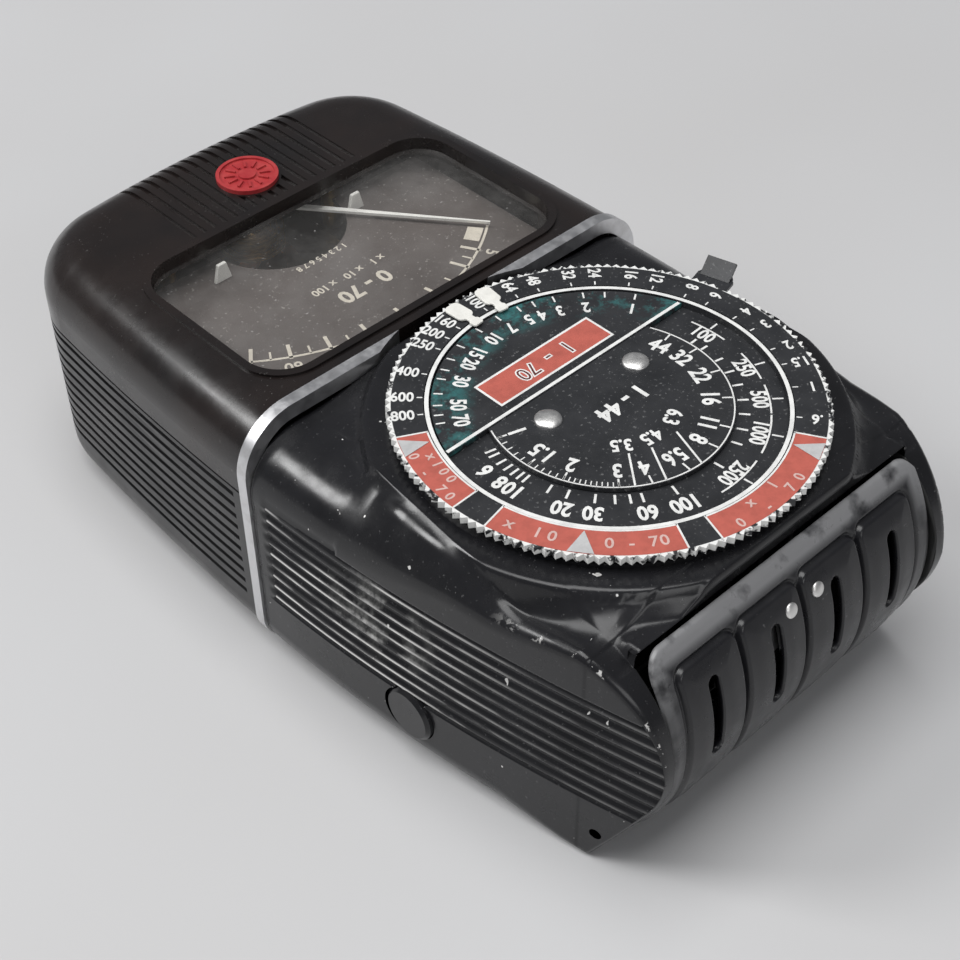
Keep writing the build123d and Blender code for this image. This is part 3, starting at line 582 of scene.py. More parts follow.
def hood_surface():
    """Outer skin of one half as a grid: rows run from the joint to the nose's tip, columns from the
    middle of the back, round the side and over the top to the middle. Ridges are half waves pressed
    into the side. Returns the grid, and how far each point is on a ridge's crest or on the upper edge."""
    y = hood_rows()[:, None]
    w = half_width(y)
    upper, lower = nose_profile(y)
    top = edge_height(y)
    half_tall = 0.45 * (top - lower)
    r_low = np.minimum(np.interp(y, [-50, -44, -36, 0], [0.6, 1.5, 3.6, 4.8]), half_tall)
    r_top = np.minimum(np.interp(y, [-60, -46, -40, -34, -28, -22, -14, 0],
                                 [0.7, 0.9, 1.5, 2.2, 3.2, 4.6, 6.2, 6.8]), half_tall)
    ones = np.ones_like(y)
    inner = w - r_top
    back = np.linspace(0, CHEEK_X, BACK_COLUMNS)[None, :]
    flat = np.linspace(0, 1, FLAT_COLUMNS + 1)[None, 1:]
    turn = np.linspace(0, math.pi / 2, TURN_COLUMNS + 1)[None, 1:]
    over = np.linspace(0, 1, OVER_COLUMNS + 1)[None, 1:]
    middle = np.linspace(CHEEK_X, 0, MIDDLE_COLUMNS + 1)[None, 1:]
    ridge_levels = RIDGE_LOW + RIDGE_PITCH * np.arange(0, RIDGE_COUNT * 14 + 1) / 14
    levels = np.concatenate([np.linspace(0.6, RIDGE_LOW - 0.1, 36), ridge_levels, np.linspace(25.4, 32.5, 9)])
    side_z = np.clip(levels[None, :], lower + r_low, top - r_top)
    phase = (side_z - RIDGE_LOW) / RIDGE_PITCH
    inside = (phase > 0) & (phase < RIDGE_COUNT)
    ends = np.clip((HOOD_BACK - 1.6 - y) / 0.8, 0, 1)
    valley = 1 - np.abs(np.sin(math.pi * phase)) ** 1.5
    press = np.where(inside, 0.05 + 0.42 * valley, 0.0) * ends
    columns = [(ones * back, lower * np.ones_like(back)),
               (CHEEK_X + (w - r_low - CHEEK_X) * flat, lower * np.ones_like(flat)),
               (w - r_low + r_low * np.sin(turn), lower + r_low * (1 - np.cos(turn))),
               (w - press, side_z),
               (w - r_top + r_top * np.cos(turn), top - r_top + r_top * np.sin(turn)),
               (inner + (CHEEK_X - inner) * over, top * np.ones_like(over)),
               (ones * middle, top * np.ones_like(middle))]
    x = np.concatenate([c[0] for c in columns], 1)
    z = np.concatenate([c[1] for c in columns], 1)
    side_start = BACK_COLUMNS + FLAT_COLUMNS + TURN_COLUMNS
    arc_start = side_start + len(levels)
    column = np.arange(x.shape[1])[None, :]
    z = on_top(x, y, z, inner, top, column < arc_start + TURN_COLUMNS, column >= arc_start)
    ridge = np.zeros_like(x)
    ridge[:, side_start:arc_start] = np.where(inside, 1 - valley, 0.0) * ends
    corner = np.zeros_like(x)
    corner[:, arc_start:arc_start + TURN_COLUMNS] = np.sin(2 * turn) ** 3
    return np.stack([x, y * np.ones_like(x), z], -1), ridge, corner


def grid_faces(rows, columns, closed=False):
    """Quads of a grid numbered row by row; closed joins its last column to its first."""
    i, j = np.meshgrid(np.arange(rows - 1), np.arange(columns if closed else columns - 1), indexing="ij")
    k = (j + 1) % columns
    here, below = i * columns, (i + 1) * columns
    return np.stack([here + j, below + j, below + k, here + k], -1).reshape(-1, 4)


def opened(points, faces, flat, middle, radius, allowed, axes):
    """Opens a hole: faces nearer than the radius to the middle go, and the hole's edge moves on to it."""
    away = flat - middle
    reach = np.hypot(away[:, 0], away[:, 1])
    depth = np.where(allowed, reach - radius, 1.0)
    gone = depth[faces].mean(1) < 0
    rim = np.intersect1d(faces[gone], faces[~gone])
    moved = points.copy()
    for column, axis in enumerate(axes):
        moved[rim, axis] = middle[rim, column] + away[rim, column] / reach[rim] * radius
    return moved, faces[~gone]


def hood_apron(edge):
    """Folded strip under the mouth's upper edge: forward a little, down, back, and down again."""
    under = edge * np.array([1.0, 1.0, 0.0]) + np.array([0.0, -0.14, 30.98])
    back = under * np.array([1.0, 0.0, 1.0]) + np.array([0.0, -47.95, 0.0])
    low = back * np.array([1.0, 1.0, 0.0]) + np.array([0.0, 0.0, 29.4])
    return [edge, edge + np.array([0.0, -0.12, -0.05]), under, back, low]


def hood_mesh():
    """The skin of both halves with its openings cut, a lining inside it, and rims that join the two."""
    grid, *marks = hood_surface()
    mirrored = grid[:, ::-1] * np.array([-1.0, 1.0, 1.0])
    both = np.concatenate([grid, mirrored[:, 1:-1]], 1)
    marks = [np.concatenate([m, m[:, ::-1][:, 1:-1]], 1) for m in marks]
    rows, total = both.shape[:2]
    points = both.reshape(-1, 3)
    faces = grid_faces(rows, total, closed=True)
    middle = points[faces].mean(1)
    between_cheeks = np.abs(middle[:, 0]) < CHEEK_X
    open_front = (middle[:, 1] < MOUTH_Y) & between_cheeks
    open_foot = (middle[:, 1] < FOOT_Y + 0.6) & between_cheeks & (middle[:, 2] < 3)
    faces = faces[~(open_front | open_foot)]
    for (hole_y, hole_z), radius, sides in ((BUTTON_AT, 3.5, (-1,)), (PIN_AT, 0.72, (-1, 1))):
        for side in sides:
            here = points[:, 0] * side > 22.0
            spot = np.tile([hole_y, hole_z], (len(points), 1))
            points, faces = opened(points, faces, points[:, 1:], spot, radius, here, (1, 2))
    inside = both[:BODY_ROWS].copy()
    w = half_width(inside[:, :, 1]) - SHEET
    inside[:, :, 0] = np.clip(inside[:, :, 0], -w, w)
    inside[:, :, 2] = np.clip(inside[:, :, 2] - SHEET, SHEET, None)
    count = len(points)
    lining = grid_faces(BODY_ROWS, total, closed=True)[:, ::-1] + count
    j = np.arange(total)
    k = (j + 1) % total
    rear = np.stack([j, k, k + count, j + count], -1)
    last = (BODY_ROWS - 1) * total
    seam = np.stack([last + k, last + j, last + j + count, last + k + count], -1)
    mouth = both[BODY_ROWS + 8]
    strip = hood_apron(mouth[(np.abs(mouth[:, 0]) <= CHEEK_X + 0.01) & (mouth[:, 2] > 20)])
    apron = grid_faces(len(strip), len(strip[0])) + count + BODY_ROWS * total
    points = np.concatenate([points, inside.reshape(-1, 3)] + strip)
    faces = np.concatenate([faces, lining, rear, seam, apron])
    marks = [np.concatenate([mark.reshape(-1), np.zeros(len(points) - count)]) for mark in marks]
    return (points + np.array([0.0, SHIFT, 0.0])) * MM, faces, marks


def smooth_piece(name, points, faces, material, core, marks=None):
    """A smooth mesh with doubles merged and its faces turned away from core; marks become attributes."""
    corners = points[faces]
    normals = np.cross(corners[:, 2] - corners[:, 0], corners[:, 3] - corners[:, 1])
    outward = ((corners.mean(1) - np.asarray(core)) * normals).sum()
    mesh = bpy.data.meshes.new(name)
    mesh.from_pydata(points.tolist(), [], (faces if outward > 0 else faces[:, ::-1]).tolist())
    for label, values in (marks or {}).items():
        mesh.attributes.new(label, "FLOAT", "POINT").data.foreach_set("value", values.astype(np.float32))
    work = bmesh.new()
    work.from_mesh(mesh)
    bmesh.ops.remove_doubles(work, verts=work.verts, dist=2e-6)
    bmesh.ops.dissolve_degenerate(work, edges=work.edges, dist=1e-7)
    bmesh.ops.delete(work, geom=[v for v in work.verts if not v.link_faces], context="VERTS")
    work.to_mesh(mesh)
    work.free()
    mesh.polygons.foreach_set("use_smooth", np.ones(len(mesh.polygons), bool))
    mesh.materials.append(material)
    made = bpy.data.objects.new(name, mesh)
    bpy.context.scene.collection.objects.link(made)
    return made


def enamel_finish():
    """Gloss black enamel worn to aluminium along the side edges and in one rubbed patch, with a painted highlight:
    pale metal streaks along the ridges' crests.
    """
    material, tree, surface = shader("gloss_enamel")
    where = place(tree)
    ridge = add(tree, "Attribute", attribute_name="ridge").outputs["Fac"]
    corner = add(tree, "Attribute", attribute_name="corner").outputs["Fac"]
    parts = add(tree, "SeparateXYZ", {0: where})
    along = parts.outputs["Y"]
    nose = ramp(tree, along, -32.0 * MM, -42.0 * MM)
    fine = noise(tree, 1300.0, 5.0, 0.7)
    # Painted highlight: long pale metal streaks on the ridges' crests, fading towards the nose, stand in for the
    # light the crests catch.
    streaks = add(tree, "Mapping", {"Vector": where, "Scale": (1.0, 0.10, 0.9)}).outputs["Vector"]
    crest_highlight_streaks = ramp(tree, noise(tree, 420.0, 3.0, 0.6, streaks), 0.42, 0.52)
    pale_marks = maths(tree, "MULTIPLY", ramp(tree, ridge, 0.86, 0.99), crest_highlight_streaks)
    pale_marks = maths(tree, "MULTIPLY", pale_marks, ramp(tree, along, -36.0 * MM, -20.0 * MM, 0.12, 1.0))
    chips = noise(tree, 620.0, 6.0, 0.7)
    chipped = maths(tree, "MULTIPLY", ramp(tree, corner, 0.45, 0.85), ramp(tree, chips, 0.575, 0.595))
    chipped = maths(tree, "MULTIPLY", chipped, nose)
    spot = add(tree, "Mapping", {"Vector": where, "Location": (0.0, 17.6 * MM / 8.0, -19.0 * MM / 6.5),
                                 "Scale": (0.0, 1.0 / 8.0, 1.0 / 6.5)}).outputs["Vector"]
    near = add(tree, "VectorMath", {0: spot}, operation="LENGTH").outputs["Value"]
    patch = maths(tree, "MULTIPLY", ramp(tree, near, 1.0 * MM, 0.3 * MM), ramp(tree, fine, 0.30, 0.62))
    left = ramp(tree, parts.outputs["X"], -20 * MM, -24 * MM)
    patch = maths(tree, "MULTIPLY", patch, left)
    patch = maths(tree, "MULTIPLY", patch, ramp(tree, noise(tree, 170.0, 4.0), 0.42, 0.58))
    specks = ramp(tree, noise(tree, 800.0, 2.0), 0.742, 0.752)
    # Real wear from the rubbed patch on the ridges joins the painted crest highlight here.
    pale_marks = maths(tree, "MAXIMUM", pale_marks, maths(tree, "MULTIPLY", ramp(tree, ridge, 0.55, 0.9), patch))
    # Bare metal: real wear from the chips, specks and patch, plus the painted highlight on the crests.
    bare_and_painted_highlight = maths(tree, "MAXIMUM", maths(tree, "MAXIMUM", pale_marks, chipped), specks)
    clouds = ramp(tree, noise(tree, 90.0, 4.0), 0.3, 0.7)
    black = blend_colour(tree, clouds, (0.008, 0.008, 0.009), (0.014, 0.014, 0.016))
    dust = ramp(tree, noise(tree, 2600.0, 2.0), 0.68, 0.74, 0.0, 0.25)
    black = blend_colour(tree, dust, black, (0.25, 0.25, 0.25))
    black = blend_colour(tree, patch, black, (0.21, 0.21, 0.20))
    colour = blend_colour(tree, bare_and_painted_highlight, black, (0.78, 0.77, 0.75))
    rough = ramp(tree, noise(tree, 260.0, 5.0, 0.7), 0.35, 0.75, 0.17, 0.34)
    matte = maths(tree, "MULTIPLY", maths(tree, "MAXIMUM", bare_and_painted_highlight, patch), 0.42)
    fill(tree, surface, {"Base Color": colour, "Metallic": maths(tree, "MULTIPLY", bare_and_painted_highlight, 0.6),
                         "Roughness": maths(tree, "MAXIMUM", rough, matte), "Specular IOR Level": 0.42})
    height = maths(tree, "SUBTRACT", maths(tree, "MULTIPLY", noise(tree, 500.0, 3.0), 0.12), bare_and_painted_highlight)
    bump(tree, surface, height, 0.04 * MM, 0.5)
    return material


gloss_enamel = enamel_finish()
hood_points, hood_faces, (ridge_mark, corner_mark) = hood_mesh()
hood = smooth_piece("hood_skin", hood_points, hood_faces, gloss_enamel, (0.0, -0.025, 0.016),
                    {"ridge": ridge_mark, "corner": corner_mark})
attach(hood, "hood")
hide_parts("hood_shell")


def cheeks():
    """Inner walls of the nose: flat plates at each side of the mouth, following the nose's outline."""
    rows, columns = 60, 12
    y = np.linspace(-30.0, -54.9, rows)
    upper, lower = nose_profile(y)
    upper = np.where(y > MOUTH_Y, 29.0, upper - 0.05)
    t = np.linspace(0, 1, columns)[None, :]
    z = (lower[:, None] + 0.05) * (1 - t) + upper[:, None] * t
    y = np.repeat(y[:, None], columns, 1) + SHIFT
    plates = [np.stack([np.full_like(z, side * (CHEEK_X + 0.15)), y, z], -1).reshape(-1, 3) for side in (-1, 1)]
    quads = grid_faces(rows, columns)
    return np.concatenate(plates) * MM, np.concatenate([quads, quads[:, ::-1] + rows * columns])


cheek_points, cheek_faces = cheeks()
cheek = smooth_piece("nose_cheeks", cheek_points, cheek_faces, inner_black, (0.0, 0.0, 0.0))
thick = cheek.modifiers.new("wall", "SOLIDIFY")
thick.thickness = 0.5 * MM
thick.offset = 0.0
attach(cheek, "hood")
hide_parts("hood_shell")
dress("release_button", gloss_enamel)
dress("dial_base", gloss_enamel)
dress("hood_trim", bright)


# ---------------------------------------------------------------- cover
# Stamped cover in dull black that wraps the nose: a flat rim, and four pillowed panels, each with a
# slot. It turns on a pin through the cheeks and is held by a riveted spring strip.

COVER_AXIS = (-33.9, 17.4)
COVER_R = 20.7
COVER_X = 20.9
COVER_Z = (4.0, 30.9)
RIM = 2.45
PANEL_EDGES = (-18.45, -9.44, 0.0, 9.44, 18.45)


def soft_step(value, low, high):
    """Smooth rise from 0 to 1: 3 t squared less 2 t cubed."""
    t = np.clip((value - low) / (high - low), 0, 1)
    return t * t * (3 - 2 * t)


def cover_grid():
    """Rolled sheet: x runs along it, and height runs down it on a circle about the cover's axis. Each
    panel swells by a flat-topped pillow, with a pressed line round it; the upper corners are rounded."""
    x = np.linspace(-COVER_X, COVER_X, 420)[:, None]
    v = np.linspace(0, 1, 200)[None, :]
    corner = 2.5
    past = np.clip(np.abs(x) - (COVER_X - corner), 0, corner)
    high = COVER_Z[1] - (corner - np.sqrt(corner ** 2 - past ** 2))
    z = COVER_Z[0] + (high - COVER_Z[0]) * v
    x = x * np.ones_like(z)
    relief = np.zeros_like(z)
    top = COVER_Z[1] - RIM - 0.25
    low = COVER_Z[0] + 1.6
    for left, right in zip(PANEL_EDGES[:-1], PANEL_EDGES[1:]):
        r = 1.3
        cx, cz = (left + right) / 2, (top + low) / 2
        hx, hz = (right - left) / 2 - 0.16, (top - low) / 2
        qx = np.abs(x - cx) - hx + r
        qz = np.abs(z - cz) - hz + r
        inside = -(np.hypot(np.maximum(qx, 0), np.maximum(qz, 0)) + np.minimum(np.maximum(qx, qz), 0) - r)
        relief += 0.20 * soft_step(inside, -0.02, 0.5) + 0.14 * soft_step(inside, 0.3, 2.6)
        relief -= 0.42 * np.exp(-((inside + 0.05) / 0.24) ** 2)
    edge = np.minimum(COVER_X - np.abs(x), high - z)
    relief -= 0.35 * (1 - soft_step(edge, 0.0, 0.5)) ** 2
    lip = np.exp(-((edge - 0.9) / 0.5) ** 2) * 0.08
    radius = COVER_R - 0.26 + relief + lip
    angle = np.arcsin(np.clip((z - COVER_AXIS[1]) / COVER_R, -1, 1))
    y = COVER_AXIS[0] - radius * np.cos(angle)
    height = COVER_AXIS[1] + radius * np.sin(angle)
    points = np.stack([x, y + SHIFT, height], -1).reshape(-1, 3) * MM
    faces = grid_faces(*z.shape)
    rim = np.clip(1 - np.abs(edge - 0.4) / 2.0, 0, 1).reshape(-1)
    for slot_x in (-14.16, -4.72, 4.72, 14.16):
        flat = np.stack([points[:, 0], points[:, 2]], 1) / MM
        middle = np.stack([np.full(len(flat), slot_x), np.clip(flat[:, 1], 16.3, 24.9)], 1)
        near = np.abs(flat[:, 0] - slot_x) < 3.0
        shifted, faces = opened(flat, faces, flat, middle, 0.85, near, (0, 1))
        points[:, 0] = shifted[:, 0] * MM
        points[:, 2] = shifted[:, 1] * MM
    return points, faces, rim


def dull_black():
    """Dull black paint, rubbed to grey along the rim, most near the top."""
    material, tree, surface = shader("dull_black")
    rim = add(tree, "Attribute", attribute_name="rim").outputs["Fac"]
    clouds = ramp(tree, noise(tree, 110.0, 5.0), 0.3, 0.7)
    colour = blend_colour(tree, clouds, (0.008, 0.008, 0.010), (0.014, 0.014, 0.016))
    scuffs = ramp(tree, noise(tree, 1400.0, 3.0), 0.68, 0.75, 0.0, 0.4)
    colour = blend_colour(tree, scuffs, colour, (0.20, 0.20, 0.20))
    worn = maths(tree, "MULTIPLY", ramp(tree, rim, 0.0, 0.5), ramp(tree, noise(tree, 240.0, 5.0), 0.32, 0.5))
    height = add(tree, "SeparateXYZ", {0: place(tree)}).outputs["Z"]
    high = ramp(tree, height, 24.0 * MM, 29.5 * MM, 0.25, 0.95)
    colour = blend_colour(tree, maths(tree, "MULTIPLY", worn, high), colour, (0.24, 0.24, 0.245))
    rough = ramp(tree, noise(tree, 320.0, 4.0), 0.3, 0.7, 0.24, 0.38)
    fill(tree, surface, {"Base Color": colour, "Roughness": rough})
    bump(tree, surface, noise(tree, 1500.0, 3.0), 0.03 * MM, 0.3)
    return material


def cover_barrel():
    """Rolled edge round the hinge pin: a closed rod along x, as two rings of corners and two ends."""
    sides, radius = 32, 1.65
    a = np.linspace(0, 2 * math.pi, sides, endpoint=False)
    y, z = PIN_AT[0] + SHIFT + radius * np.cos(a), PIN_AT[1] + radius * np.sin(a)
    points = [(x * MM, b * MM, c * MM) for x in (-COVER_X, COVER_X) for b, c in zip(y, z)]
    faces = [(i, (i + 1) % sides, (i + 1) % sides + sides, i + sides) for i in range(sides)]
    return points, faces + [tuple(range(sides))[::-1], tuple(range(sides, 2 * sides))]


cover_black = dull_black()
cover_points, cover_faces, rim_mark = cover_grid()
cover = smooth_piece("cover_skin", cover_points, cover_faces, cover_black, (0.0, -0.030, 0.0174),
                     {"rim": rim_mark})
sheet = cover.modifiers.new("sheet", "SOLIDIFY")
sheet.thickness = 0.9 * MM
sheet.offset = -1.0
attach(cover, "cover")
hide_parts("cover_panel")
barrel = sheet_object("cover_barrel", *cover_barrel(), cover_black)
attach(barrel, "cover")
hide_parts("cover_panel")


# ---------------------------------------------------------------- calculator dial
# Thin metal discs on a hub riveted to the hood, black with white and red print. Two rings turn, and
# the light-value and aperture plates in the middle stay still. It carries numbers and no words.

RING_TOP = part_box("film_speed_ring")[1].z
LIGHT_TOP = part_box("light_value_plate")[1].z
LAYER = 0.006 * MM
STOP_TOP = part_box("fstop_plate")[1].z
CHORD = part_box("light_value_plate")[0].y
SHUTTER_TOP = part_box("dial_base")[1].z + 0.5 * MM
RIB_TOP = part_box("dial_base")[1].z + 1.3 * MM


def dial_paint(name, white_beyond=None, stain=False):
    """Satin black with dust and hairlines; the teeth's tips are white, the light plate stained green."""
    material, tree, surface = shader(name)
    where = place(tree)
    centred = add(tree, "Mapping", {"Vector": where, "Location": (-DIAL.x, -DIAL.y, 0.0)}).outputs["Vector"]
    clouds = ramp(tree, noise(tree, 200.0, 5.0), 0.3, 0.7)
    colour = blend_colour(tree, clouds, (0.016, 0.017, 0.019), (0.030, 0.031, 0.034))
    dust = ramp(tree, noise(tree, 2400.0, 3.0), 0.62, 0.72, 0.0, 0.55)
    colour = blend_colour(tree, dust, colour, (0.22, 0.22, 0.22))
    flat = add(tree, "VectorMath", {0: centred, 1: (1.0, 1.0, 0.0)}, operation="MULTIPLY").outputs["Vector"]
    radius = add(tree, "VectorMath", {0: flat}, operation="LENGTH").outputs["Value"]
    if stain:
        near_rim = ramp(tree, radius, 13.8 * MM, 16.5 * MM)
        patchy = ramp(tree, noise(tree, 330.0, 5.0, 0.7), 0.47, 0.62, 0.0, 0.9)
        colour = blend_colour(tree, maths(tree, "MULTIPLY", near_rim, patchy), colour, (0.035, 0.16, 0.16))
    if white_beyond:
        rim = ramp(tree, radius, white_beyond, white_beyond + 0.05 * MM)
        pale_marks = ramp(tree, noise(tree, 900.0, 4.0), 0.40, 0.46)
        colour = blend_colour(tree, maths(tree, "MULTIPLY", rim, pale_marks), colour, (0.80, 0.80, 0.78))
    rough = ramp(tree, noise(tree, 500.0, 4.0), 0.3, 0.7, 0.28, 0.45)
    fill(tree, surface, {"Base Color": colour, "Roughness": rough})
    bump(tree, surface, noise(tree, 1800.0, 4.0), 0.04 * MM, 0.35)
    return material


dial_black = dial_paint("dial_black")
dress("shutter_disc", dial_black)
dress("fstop_plate", dial_black)
dress("light_value_plate", dial_paint("light_plate_paint", stain=True))
dress("film_speed_ring", dial_paint("ring_paint", white_beyond=22.9 * MM))


def rivet_head(centre, axis, radius, rise):
    """Domed head: circles of falling radius r cos t, lifted by rise sin t along the axis, over a short skirt."""
    axis = Vector(axis).normalized()
    side = axis.orthogonal().normalized()
    other = axis.cross(side)
    steps, sides = 11, 48
    t = np.concatenate([[-0.35], np.linspace(0, math.pi / 2, steps - 1)])[:, None]
    a = np.linspace(0, 2 * math.pi, sides, endpoint=False)[None, :]
    spread = radius * np.where(t < 0, 1.0, np.cos(np.maximum(t, 0)) ** 0.8)
    lift = rise * np.sin(np.maximum(t, 0)) + np.where(t < 0, -rise, 0.0)
    points = (np.asarray(centre) + spread[..., None] * (np.cos(a)[..., None] * np.asarray(side)
              + np.sin(a)[..., None] * np.asarray(other)) + (lift * np.ones_like(a))[..., None] * np.asarray(axis))
    return points.reshape(-1, 3), grid_faces(steps, sides, closed=True)


rivet_low, rivet_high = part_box("dial_rivets")
worn_nickel = metal("worn_nickel", (0.86, 0.85, 0.83), 0.30, 0.4, (0.6, 0.58, 0.55))
for name, x in (("left", rivet_low.x + 1.5 * MM), ("right", rivet_high.x - 1.5 * MM)):
    centre = (x, (rivet_low.y + rivet_high.y) / 2, rivet_high.z - 0.45 * MM)
    head_points, head_faces = rivet_head(centre, (0, 0, 1), 1.5 * MM, 0.45 * MM)
    head = smooth_piece(f"dial_rivet_{name}", head_points, head_faces, worn_nickel, (x, centre[1], 0.03))
    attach(head, "hood")
    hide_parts("dial_rivets")
rise = math.asin((25.8 - COVER_AXIS[1]) / COVER_R)
out = (0.0, -math.cos(rise), math.sin(rise))
for name, x in (("left", -2.1), ("right", 2.1)):
    centre = (x * MM, (COVER_AXIS[0] + SHIFT) * MM + out[1] * (COVER_R + 0.05) * MM,
              COVER_AXIS[1] * MM + out[2] * (COVER_R + 0.05) * MM)
    head_points, head_faces = rivet_head(centre, out, 0.85 * MM, 0.3 * MM)
    head = smooth_piece(f"cover_rivet_{name}", head_points, head_faces, worn_nickel, (x * MM, -0.03, 0.0174))
    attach(head, "cover")
    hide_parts("cover_rivets")

white_print = ink("white_print", (0.82, 0.82, 0.80), 0.15)
red_print = ink("red_print", (0.50, 0.115, 0.085), 0.15)
pale_print = ink("pale_print", (0.66, 0.46, 0.42), 0.1)
grey_print = ink("grey_print", (0.52, 0.52, 0.52), 0.1)


def film_angle(speed):
    """Film speeds. Like most of the dial's scales, 19 degrees or so for each doubling."""
    return math.radians(-38.9 + 18.9 * math.log2(speed))


def shutter_angle(value):
    """Slow speeds, growing with the angle from six."""
    return math.radians(174.0 + 19.0 * math.log2(value / 6.0))


def fast_angle(value):
    """Fast speeds, falling as the angle grows."""
    return math.radians(275.1 + 18.9 * math.log2(2500.0 / value))


STOP_FIGURES = {1: 162.6, 1.5: 185, 2: 203, 3: 228, 4: 243, 5.6: 262, 8: 282, 11: 297, 16: 318, 22: 338,
                32: 356.5, 44: 372.5}


def stop_angle(number):
    """Apertures, spaced by the figures' own places."""
    return math.radians(float(np.interp(number, list(STOP_FIGURES), list(STOP_FIGURES.values()))))


def light_angle(value):
    """Light readings, on the same side as the index clips."""
    return math.radians(33.8 + 18.6 * math.log2(value))


def around(text, radius, start, end, size, weight=0.03):
    """Letters spaced evenly along an arc, their feet outwards; radius and size are in millimetres."""
    angles = np.radians(np.linspace(start, end, len(text)))
    return [set_at(word(letter, size * MM, weight * MM), polar(DIAL, radius * MM, a), a + QUARTER)
            for letter, a in zip(text, angles) if letter != " "]


FILM_SPEEDS = (800, 600, 400, 250, 200, 160, 100, 64, 48, 32, 24, 16, 12, 8, 6, 4, 3, 2, 1.5, 1, 0.6)
ring_shapes = figures(FILM_SPEEDS, film_angle, DIAL, 21.75, 2.05, 0.82, 0.05, math.pi)
ring_shapes.append(strokes(FILM_SPEEDS, film_angle, DIAL, 19.6, 20.2, 0.16))
printed("film_figures", ring_shapes, RING_TOP + 0.03 * MM, white_print, "film_speed_dial")

PANEL_IN, PANEL_OUT = 19.65 * MM, 22.95 * MM
EDGE_IN = PANEL_IN - 0.1 * MM
RED_SPANS = [(math.radians(a), math.radians(b)) for a, b in ((151.5, 181.5), (191.5, 243.0), (252.0, 300.0))]
red_shapes = [band(DIAL, PANEL_IN, PANEL_OUT, a, b, 24) for a, b in RED_SPANS]
printed("red_panels", red_shapes, RING_TOP + 0.03 * MM, red_print, "film_speed_dial")
edge_shapes = [band(DIAL, EDGE_IN, PANEL_IN + 0.1 * MM, a, b, 24) for a, b in RED_SPANS]
edge_shapes += [ticks(DIAL, EDGE_IN, PANEL_OUT, span, 0.2 * MM) for span in RED_SPANS]
printed("panel_edges", edge_shapes, RING_TOP + 0.06 * MM, white_print, "film_speed_dial")

PANEL_LINES = (("x100", 20.5, 162.0, 173.0, 1.6), ("0 - 70", 22.15, 160.0, 178.0, 1.6),
               ("x 10", 21.4, 196.5, 208.5, 1.95), ("0 - 70", 21.4, 223.5, 238.0, 1.95),
               ("x 1", 20.55, 266.0, 276.0, 1.7), ("0 - 70", 22.15, 259.0, 283.0, 1.7))
panel_figures = [letter for line in PANEL_LINES for letter in around(*line)]
printed("panel_words", panel_figures, RING_TOP + 0.06 * MM, pale_print, "film_speed_dial")

arrow = np.array([(19.9, 0.0), (22.9, -1.35), (22.9, 1.35)]) * MM
arrows = [set_at((arrow, [(0, 1, 2)]), DIAL, math.radians(middle)) for middle in (156.0, 216.5, 294.5)]
printed("panel_arrows", arrows, RING_TOP + 0.09 * MM, grey_print, "film_speed_dial")

circle = [band(DIAL, 18.95 * MM, 19.4 * MM, 0.0, 2 * math.pi, 160)]
printed("white_circle", circle, RIB_TOP + 0.02 * MM, white_print, "shutter_dial")

FAST_SPEEDS = (2500, 1000, 500, 250, 100)
shutter_shapes = figures((6, 8, 10, 20, 30, 60, 100), shutter_angle, DIAL, 16.4, 2.65, 0.82, 0.09, -QUARTER)
shutter_shapes += figures(FAST_SPEEDS, fast_angle, DIAL, 16.0, 2.4, 0.78, 0.06, -QUARTER)
shutter_shapes += [
    strokes((4.5, 5, 6, 7, 8, 9, 10, 15, 20, 30, 40, 50, 60, 100), shutter_angle, DIAL, 13.7, 15.0, 0.26),
    strokes(FAST_SPEEDS, fast_angle, DIAL, 17.4, 18.6, 0.22),
    strokes((2500, 1400, 1000, 700, 500, 350, 250, 180, 125, 100), fast_angle, DIAL, 13.7, 14.9, 0.26)]
for value in FAST_SPEEDS:
    angle, half = fast_angle(value), 0.045 * len(str(value))
    shutter_shapes.append(band(DIAL, 17.0 * MM, 17.2 * MM, angle - half, angle + half, 6))
printed("shutter_figures", shutter_shapes, SHUTTER_TOP + 0.03 * MM, white_print, "shutter_dial")

STOP_RIM = 13.2
stop_shapes = [band(DIAL, 13.15 * MM, 13.3 * MM, math.radians(157.0), math.radians(383.0), 90)]
narrow = (5.6,)
stop_shapes += figures([n for n in STOP_FIGURES if n not in narrow], stop_angle, DIAL, 10.7, 2.75, 0.82, 0.08,
                       -QUARTER)
stop_shapes += figures(narrow, stop_angle, DIAL, 10.7, 2.75, 0.74, 0.08, -QUARTER)
inner_stops = {3.5: 234.0, 4.5: 262.0, 6.3: 294.0}
stop_shapes += figures(inner_stops, lambda n: math.radians(inner_stops[n]), DIAL, 7.0, 2.4, 0.82, 0.07, -QUARTER)
for outer, inner in ((235.0, 237.5), (249.5, 255.0), (269.0, 280.0)):
    near, far = polar(DIAL, 8.4 * MM, math.radians(inner)), polar(DIAL, STOP_RIM * MM, math.radians(outer))
    lean = math.atan2(far[1] - near[1], far[0] - near[0])
    stop_shapes.append(ticks(near, 0.0, math.dist(near, far), [lean], 0.22 * MM))
stop_shapes.append(strokes(np.arange(1.0, 3.05, 0.1), stop_angle, DIAL, 12.5, STOP_RIM, 0.12))
stop_shapes.append(strokes(STOP_FIGURES, stop_angle, DIAL, 12.0, STOP_RIM, 0.2))
stop_range = word("1 - 44", 2.9 * MM, 0.10 * MM)
stop_shapes.append(set_at(stop_range, (DIAL.x + 0.8 * MM, DIAL.y - 1.2 * MM), math.pi))
printed("stop_figures", stop_shapes, STOP_TOP + 0.03 * MM, white_print, "hood")


def oblong(centre, half_x, half_y):
    """Flat rectangle about a centre."""
    corners = np.array([(-half_x, -half_y), (half_x, -half_y), (half_x, half_y), (-half_x, half_y)])
    return corners + np.array([centre[0], centre[1]]), [(0, 1, 2, 3)]


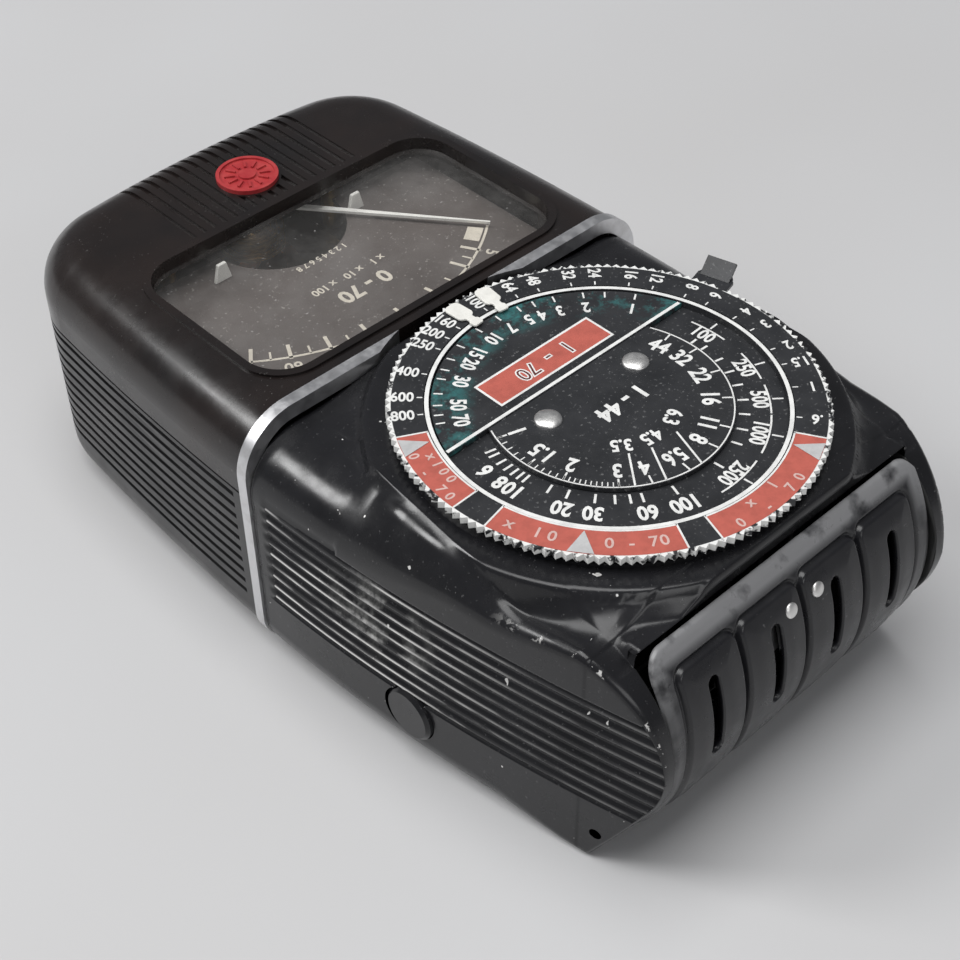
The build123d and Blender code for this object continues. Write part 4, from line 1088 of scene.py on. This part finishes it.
light_shapes = figures((70, 50, 30, 20, 15, 10, 7, 5, 4, 3, 2, 1), light_angle, DIAL, 15.9, 2.4, 0.76, 0.07, QUARTER)
light_shapes.append(strokes((70, 60, 50, 40, 30, 25, 20, 15, 10, 7, 5, 4, 3, 2, 1.5, 1), light_angle, DIAL,
                            17.5, 18.5, 0.2))
half_chord = math.sqrt((18.6 * MM) ** 2 - (CHORD - DIAL.y) ** 2)
light_shapes.append(oblong((0.0, CHORD + 0.3 * MM), half_chord, 0.2 * MM))
printed("light_figures", light_shapes, LIGHT_TOP + LAYER, white_print, "hood")

HALF_X, HALF_Y, BORDER = 8.6 * MM, 2.15 * MM, 0.28 * MM
label_middle = (DIAL.x - 0.2 * MM, DIAL.y + 9.2 * MM)
dark_red = ink("dark_red_print", (0.12, 0.03, 0.025), 0.2)
thick_range, thin_range = [set_at(word("1  -  70", 2.75 * MM, weight * MM), label_middle, math.pi)
                           for weight in (0.15, -0.01)]
LABEL = (("border", oblong(label_middle, HALF_X, HALF_Y), white_print, "white_paint"),
         ("red", oblong(label_middle, HALF_X - BORDER, HALF_Y - BORDER), red_print, "red_enamel"),
         ("words", thick_range, white_print, "white_paint"),
         ("cores", thin_range, dark_red, "red_enamel"))
for layer, (name, shape, paint, node_slot) in enumerate(LABEL, 1):
    printed(f"label_{name}", [shape], LIGHT_TOP + layer * LAYER, paint, "hood")


# ---------------------------------------------------------------- index clips
# Two small tabs of sheet metal painted white, fixed to the hood and reaching over the film-speed
# ring as index marks.

def clip_shape():
    """Outline along the radius: rounded head over the rim, a narrow neck, and a small foot."""
    half = [(18.3, 0.0), (18.3, 0.55), (18.5, 0.7), (19.2, 0.7), (19.4, 0.48), (19.9, 0.48), (20.15, 0.9),
            (20.45, 1.05), (22.4, 1.05), (22.8, 0.85), (22.95, 0.5), (22.95, 0.0)]
    outline = [(r, -t) for r, t in half] + half[-2:0:-1]
    return np.array(outline) * MM, [tuple(range(len(outline)))]


clip_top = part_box("index_clips")[1].z
tabs = [set_at(clip_shape(), DIAL, math.radians(angle)) for angle in (94.0, 82.5)]
clips = printed("index_clip_tabs", tabs, clip_top, white_paint, "hood", 0.28 * MM)
soft = clips.modifiers.new("edges", "BEVEL")
soft.width = 0.08 * MM
soft.segments = 2
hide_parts("index_clips")
